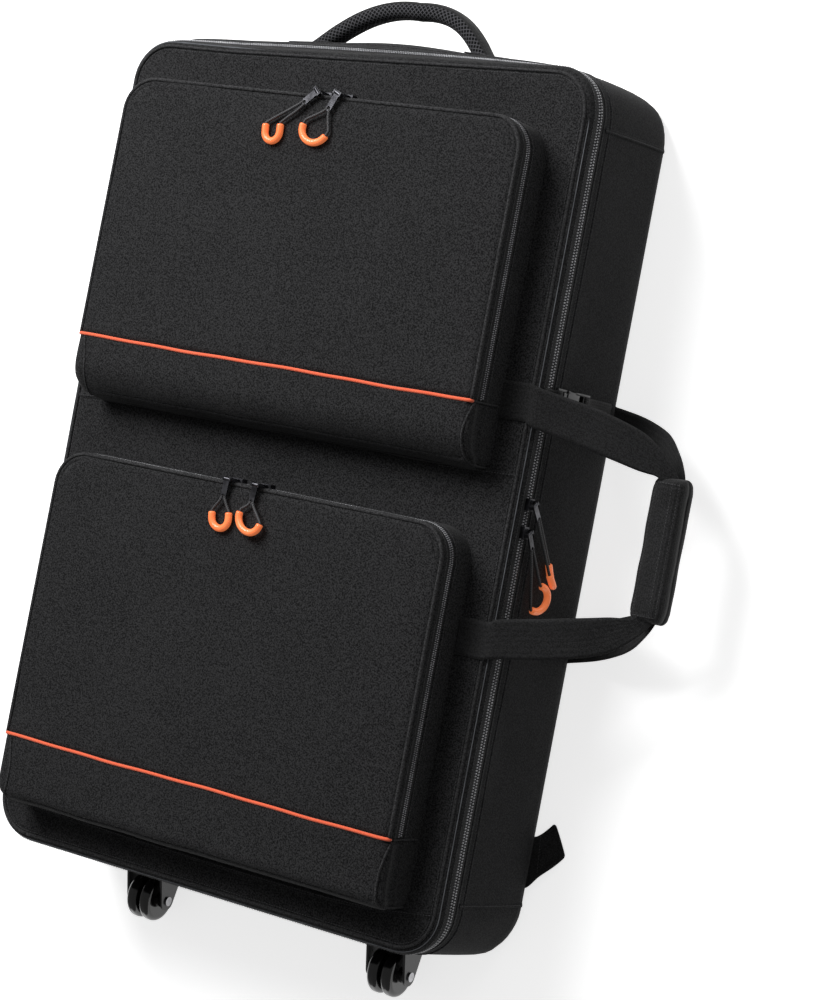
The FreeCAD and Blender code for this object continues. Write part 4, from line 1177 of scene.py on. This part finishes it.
def cord_points(drop, half, lean, tilt, twist, lift, sway):
    """The cord's route in the pull's own plane: out of the link's eye, round the tip and back.

    half is the half width of the U inside the tip, which is turned by tilt; the loop leans aside,
    twists about its length and lifts off the fabric little by little, the more the further it is
    from the eye.
    """
    run_out = drop - EYE
    leg = max(2 * MM, (TIP_LENGTH - math.pi * half) / 2)
    arc = [(half * math.cos(a), half * math.sin(a)) for a in np.linspace(0, -math.pi, 11)]
    turn = math.radians(tilt)
    bend = [(x * math.cos(turn) - y * math.sin(turn), x * math.sin(turn) + y * math.cos(turn) + half - drop)
            for x, y in [(half, leg + 2 * MM), (half, leg)] + arc + [(-half, leg), (-half, leg + 2 * MM)]]
    flat = [(1.6 * MM, -EYE), (2.4 * MM, -EYE - 0.12 * run_out)] + bend
    flat += [(-2.4 * MM, -EYE - 0.12 * run_out), (-1.6 * MM, -EYE)]
    route = []
    for x, y in flat:
        share = min(1.0, (-y - EYE) / run_out)
        along = -EYE + (y + EYE) * math.cos(math.radians(lean))
        aside = -(y + EYE) * math.sin(math.radians(lean)) + sway * math.sin(math.pi / 2 * share) * share
        roll = math.radians(twist) * share
        route.append(Vector((aside + x * math.cos(roll), along, x * math.sin(roll) + lift * share)))
    return route


def make_pull(name, drop, placement, hang):
    """One pull: a cord through the link's eye and the moulded tip on the middle of the cord."""
    curve = bpy.data.curves.new(f"{name}_cord_loop", "CURVE")
    curve.dimensions = "3D"
    line = curve.splines.new("NURBS")
    route = cord_points(drop, *hang)
    line.points.add(len(route) - 1)
    for point, place in zip(line.points, route):
        point.co = (*(placement @ place), 1)
    line.order_u = 3
    line.use_endpoint_u = True
    line.resolution_u = 16
    cord = bpy.data.objects.new(f"{name}_cord_loop", curve)
    bpy.context.scene.collection.objects.link(cord)
    drawn = bpy.data.meshes.new_from_object(cord)
    points = np.array([vert.co[:] for vert in drawn.vertices])
    bpy.data.meshes.remove(drawn)
    path = evenly(points, 400)
    lowest = np.array(placement @ route[len(route) // 2])
    middle = np.argmin(np.linalg.norm(path - lowest, axis=1)) / 399
    half = TIP_LENGTH / 2 / run(points)[-1]
    start, end = (round(399 * (middle + sign * half)) for sign in (-1, 1))
    tip = tube_along(f"{name}_moulded_tip", evenly(path[start:end + 1], 48), TIP_RADIUS, "tip_orange",
                     sides=18, taper=1)
    curve.bevel_depth = CORD_RADIUS
    curve.bevel_resolution = 3
    curve.use_fill_caps = True
    curve.materials.append(MATERIALS["cord_black"])
    settle(tip, f"{name}_pull", [f"{name}_tip"])
    settle(cord, f"{name}_pull", [f"{name}_cord"])


# Pocket, place along the zip in mm, swing in degrees, drop in mm, the cord's length in m, and how the loop
# hangs: the half width of its U, its lean, tilt and twist in degrees, and its lift and sway.
POCKET_PULLS = {
    "upper_left": ("upper", -1, -46, 79, 0.1392, (9.8 * MM, 2, 50, 0, 0, 0)),
    "upper_right": ("upper", 26, -25, 61.5, 0.1127, (16.5 * MM, 0, 8, 0, 0, -3 * MM)),
    "lower_left": ("lower", -24, -3, 54.5, 0.0889, (11.3 * MM, 5, 6, 0, 0, 0)),
    "lower_right": ("lower", 14, -4, 52.5, 0.0926, (14.5 * MM, 13, -20, 0, 4 * MM, 0)),
}
SIDE_PULLS = {"main_upper": (22, -45, 101, 0.1759, (9.5 * MM, -9, 0, -40, 5 * MM, 0)),
              "main_lower": (-8, -36, 90, 0.1620, (13 * MM, -9, 47, 20, 6 * MM, 0))}
for pull, (pocket, x, swing, drop, length, hang) in POCKET_PULLS.items():
    spin = Matrix.Rotation(math.radians(swing), 4, "Z")
    place = (x * MM, POCKETS[pocket]["high"] + 3 * MM, LIE)
    make_pull(pull, drop * MM, Matrix.Translation(place) @ spin, hang)
for pull, (y, swing, drop, length, hang) in SIDE_PULLS.items():
    spin = Matrix.Rotation(math.radians(90), 4, "Y") @ Matrix.Rotation(math.radians(-swing), 4, "Z")
    make_pull(pull, drop * MM, Matrix.Translation((SIDE_LIE, y * MM, SPLIT)) @ spin, hang)


# ------------------------------------------------------------ CAD nodes that stay

CAD_FINISH = {
    "back_foam": "foam_padding", "lid_foam": "foam_padding", "back_lining": "lining_fabric",
    "lid_lining": "lining_fabric", "back_board": "board_plastic", "base_board": "board_plastic",
    "wheel_brackets": "bracket_plastic", "wheel_axles": "rivet_steel", "bracket_screws": "rivet_steel",
    "wheel_left": "wheel_plastic", "wheel_right": "wheel_plastic",
}
ROUNDED = {"wheel_brackets": 0.8 * MM}
for pull in (*POCKET_PULLS, *SIDE_PULLS):
    for part, rounding in (("slider", 0.45 * MM), ("link", 0.3 * MM)):
        CAD_FINISH[f"{pull}_{part}"] = "slider_metal"
        ROUNDED[f"{pull}_{part}"] = rounding
for name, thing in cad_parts.items():
    if not thing.hide_render:
        thing.data.materials.clear()
        thing.data.materials.append(MATERIALS[CAD_FINISH[name]])
        if name in ROUNDED:
            bevel = thing.modifiers.new("rounded", "BEVEL")
            bevel.width = ROUNDED[name]
            bevel.segments = 2
            bevel.limit_method = "ANGLE"
            bevel.angle_limit = math.radians(40)


# ------------------------------------------------------------ floor and light

FLOOR_SIZE = 60
FLOOR_GLOW = 0.7         # what keeps the floor white where the lights don't reach
WORLD_LIGHT = 0.2


def add_floor():
    work = bmesh.new()
    bmesh.ops.create_grid(work, x_segments=1, y_segments=1, size=FLOOR_SIZE)
    mesh = bpy.data.meshes.new("floor")
    work.to_mesh(mesh)
    work.free()
    floor = link_mesh("floor", mesh)
    floor.location.z = -0.001
    nodes = Nodes("floor_white", 0.9, specular=0.1)
    nodes.colour(nodes.noise(2), (232, 232, 232), (235, 235, 235), 0.3, 0.7)
    nodes.surface({"Emission Color": (1, 1, 1, 1), "Emission Strength": FLOOR_GLOW})
    mesh.materials.append(nodes.material)
    floor.visible_diffuse = False


def add_light(name, place, target, size, power):
    data = bpy.data.lights.new(name, "AREA")
    data.shape = "RECTANGLE"
    data.size = size
    data.size_y = size
    data.energy = power
    light = bpy.data.objects.new(name, data)
    bpy.context.scene.collection.objects.link(light)
    light.location = place
    light.rotation_mode = "QUATERNION"
    light.rotation_quaternion = (Vector(place) - Vector(target)).to_track_quat("Z", "Y")


def add_world():
    world = bpy.data.worlds.new("world")
    world.use_nodes = True
    background = world.node_tree.nodes["Background"]
    background.inputs["Color"].default_value = (1, 1, 1, 1)
    background.inputs["Strength"].default_value = WORLD_LIGHT
    bpy.context.scene.world = world
    bpy.context.scene.view_settings.view_transform = "Standard"


add_floor()
add_world()
add_light("key", (-1.1, 1.7, 2.2), (0, 0.1, 0.1), 1.5, 106)
add_light("top_right", (1.5, 2.2, 0.9), (0.2, 0.2, 0.1), 1.0, 10)
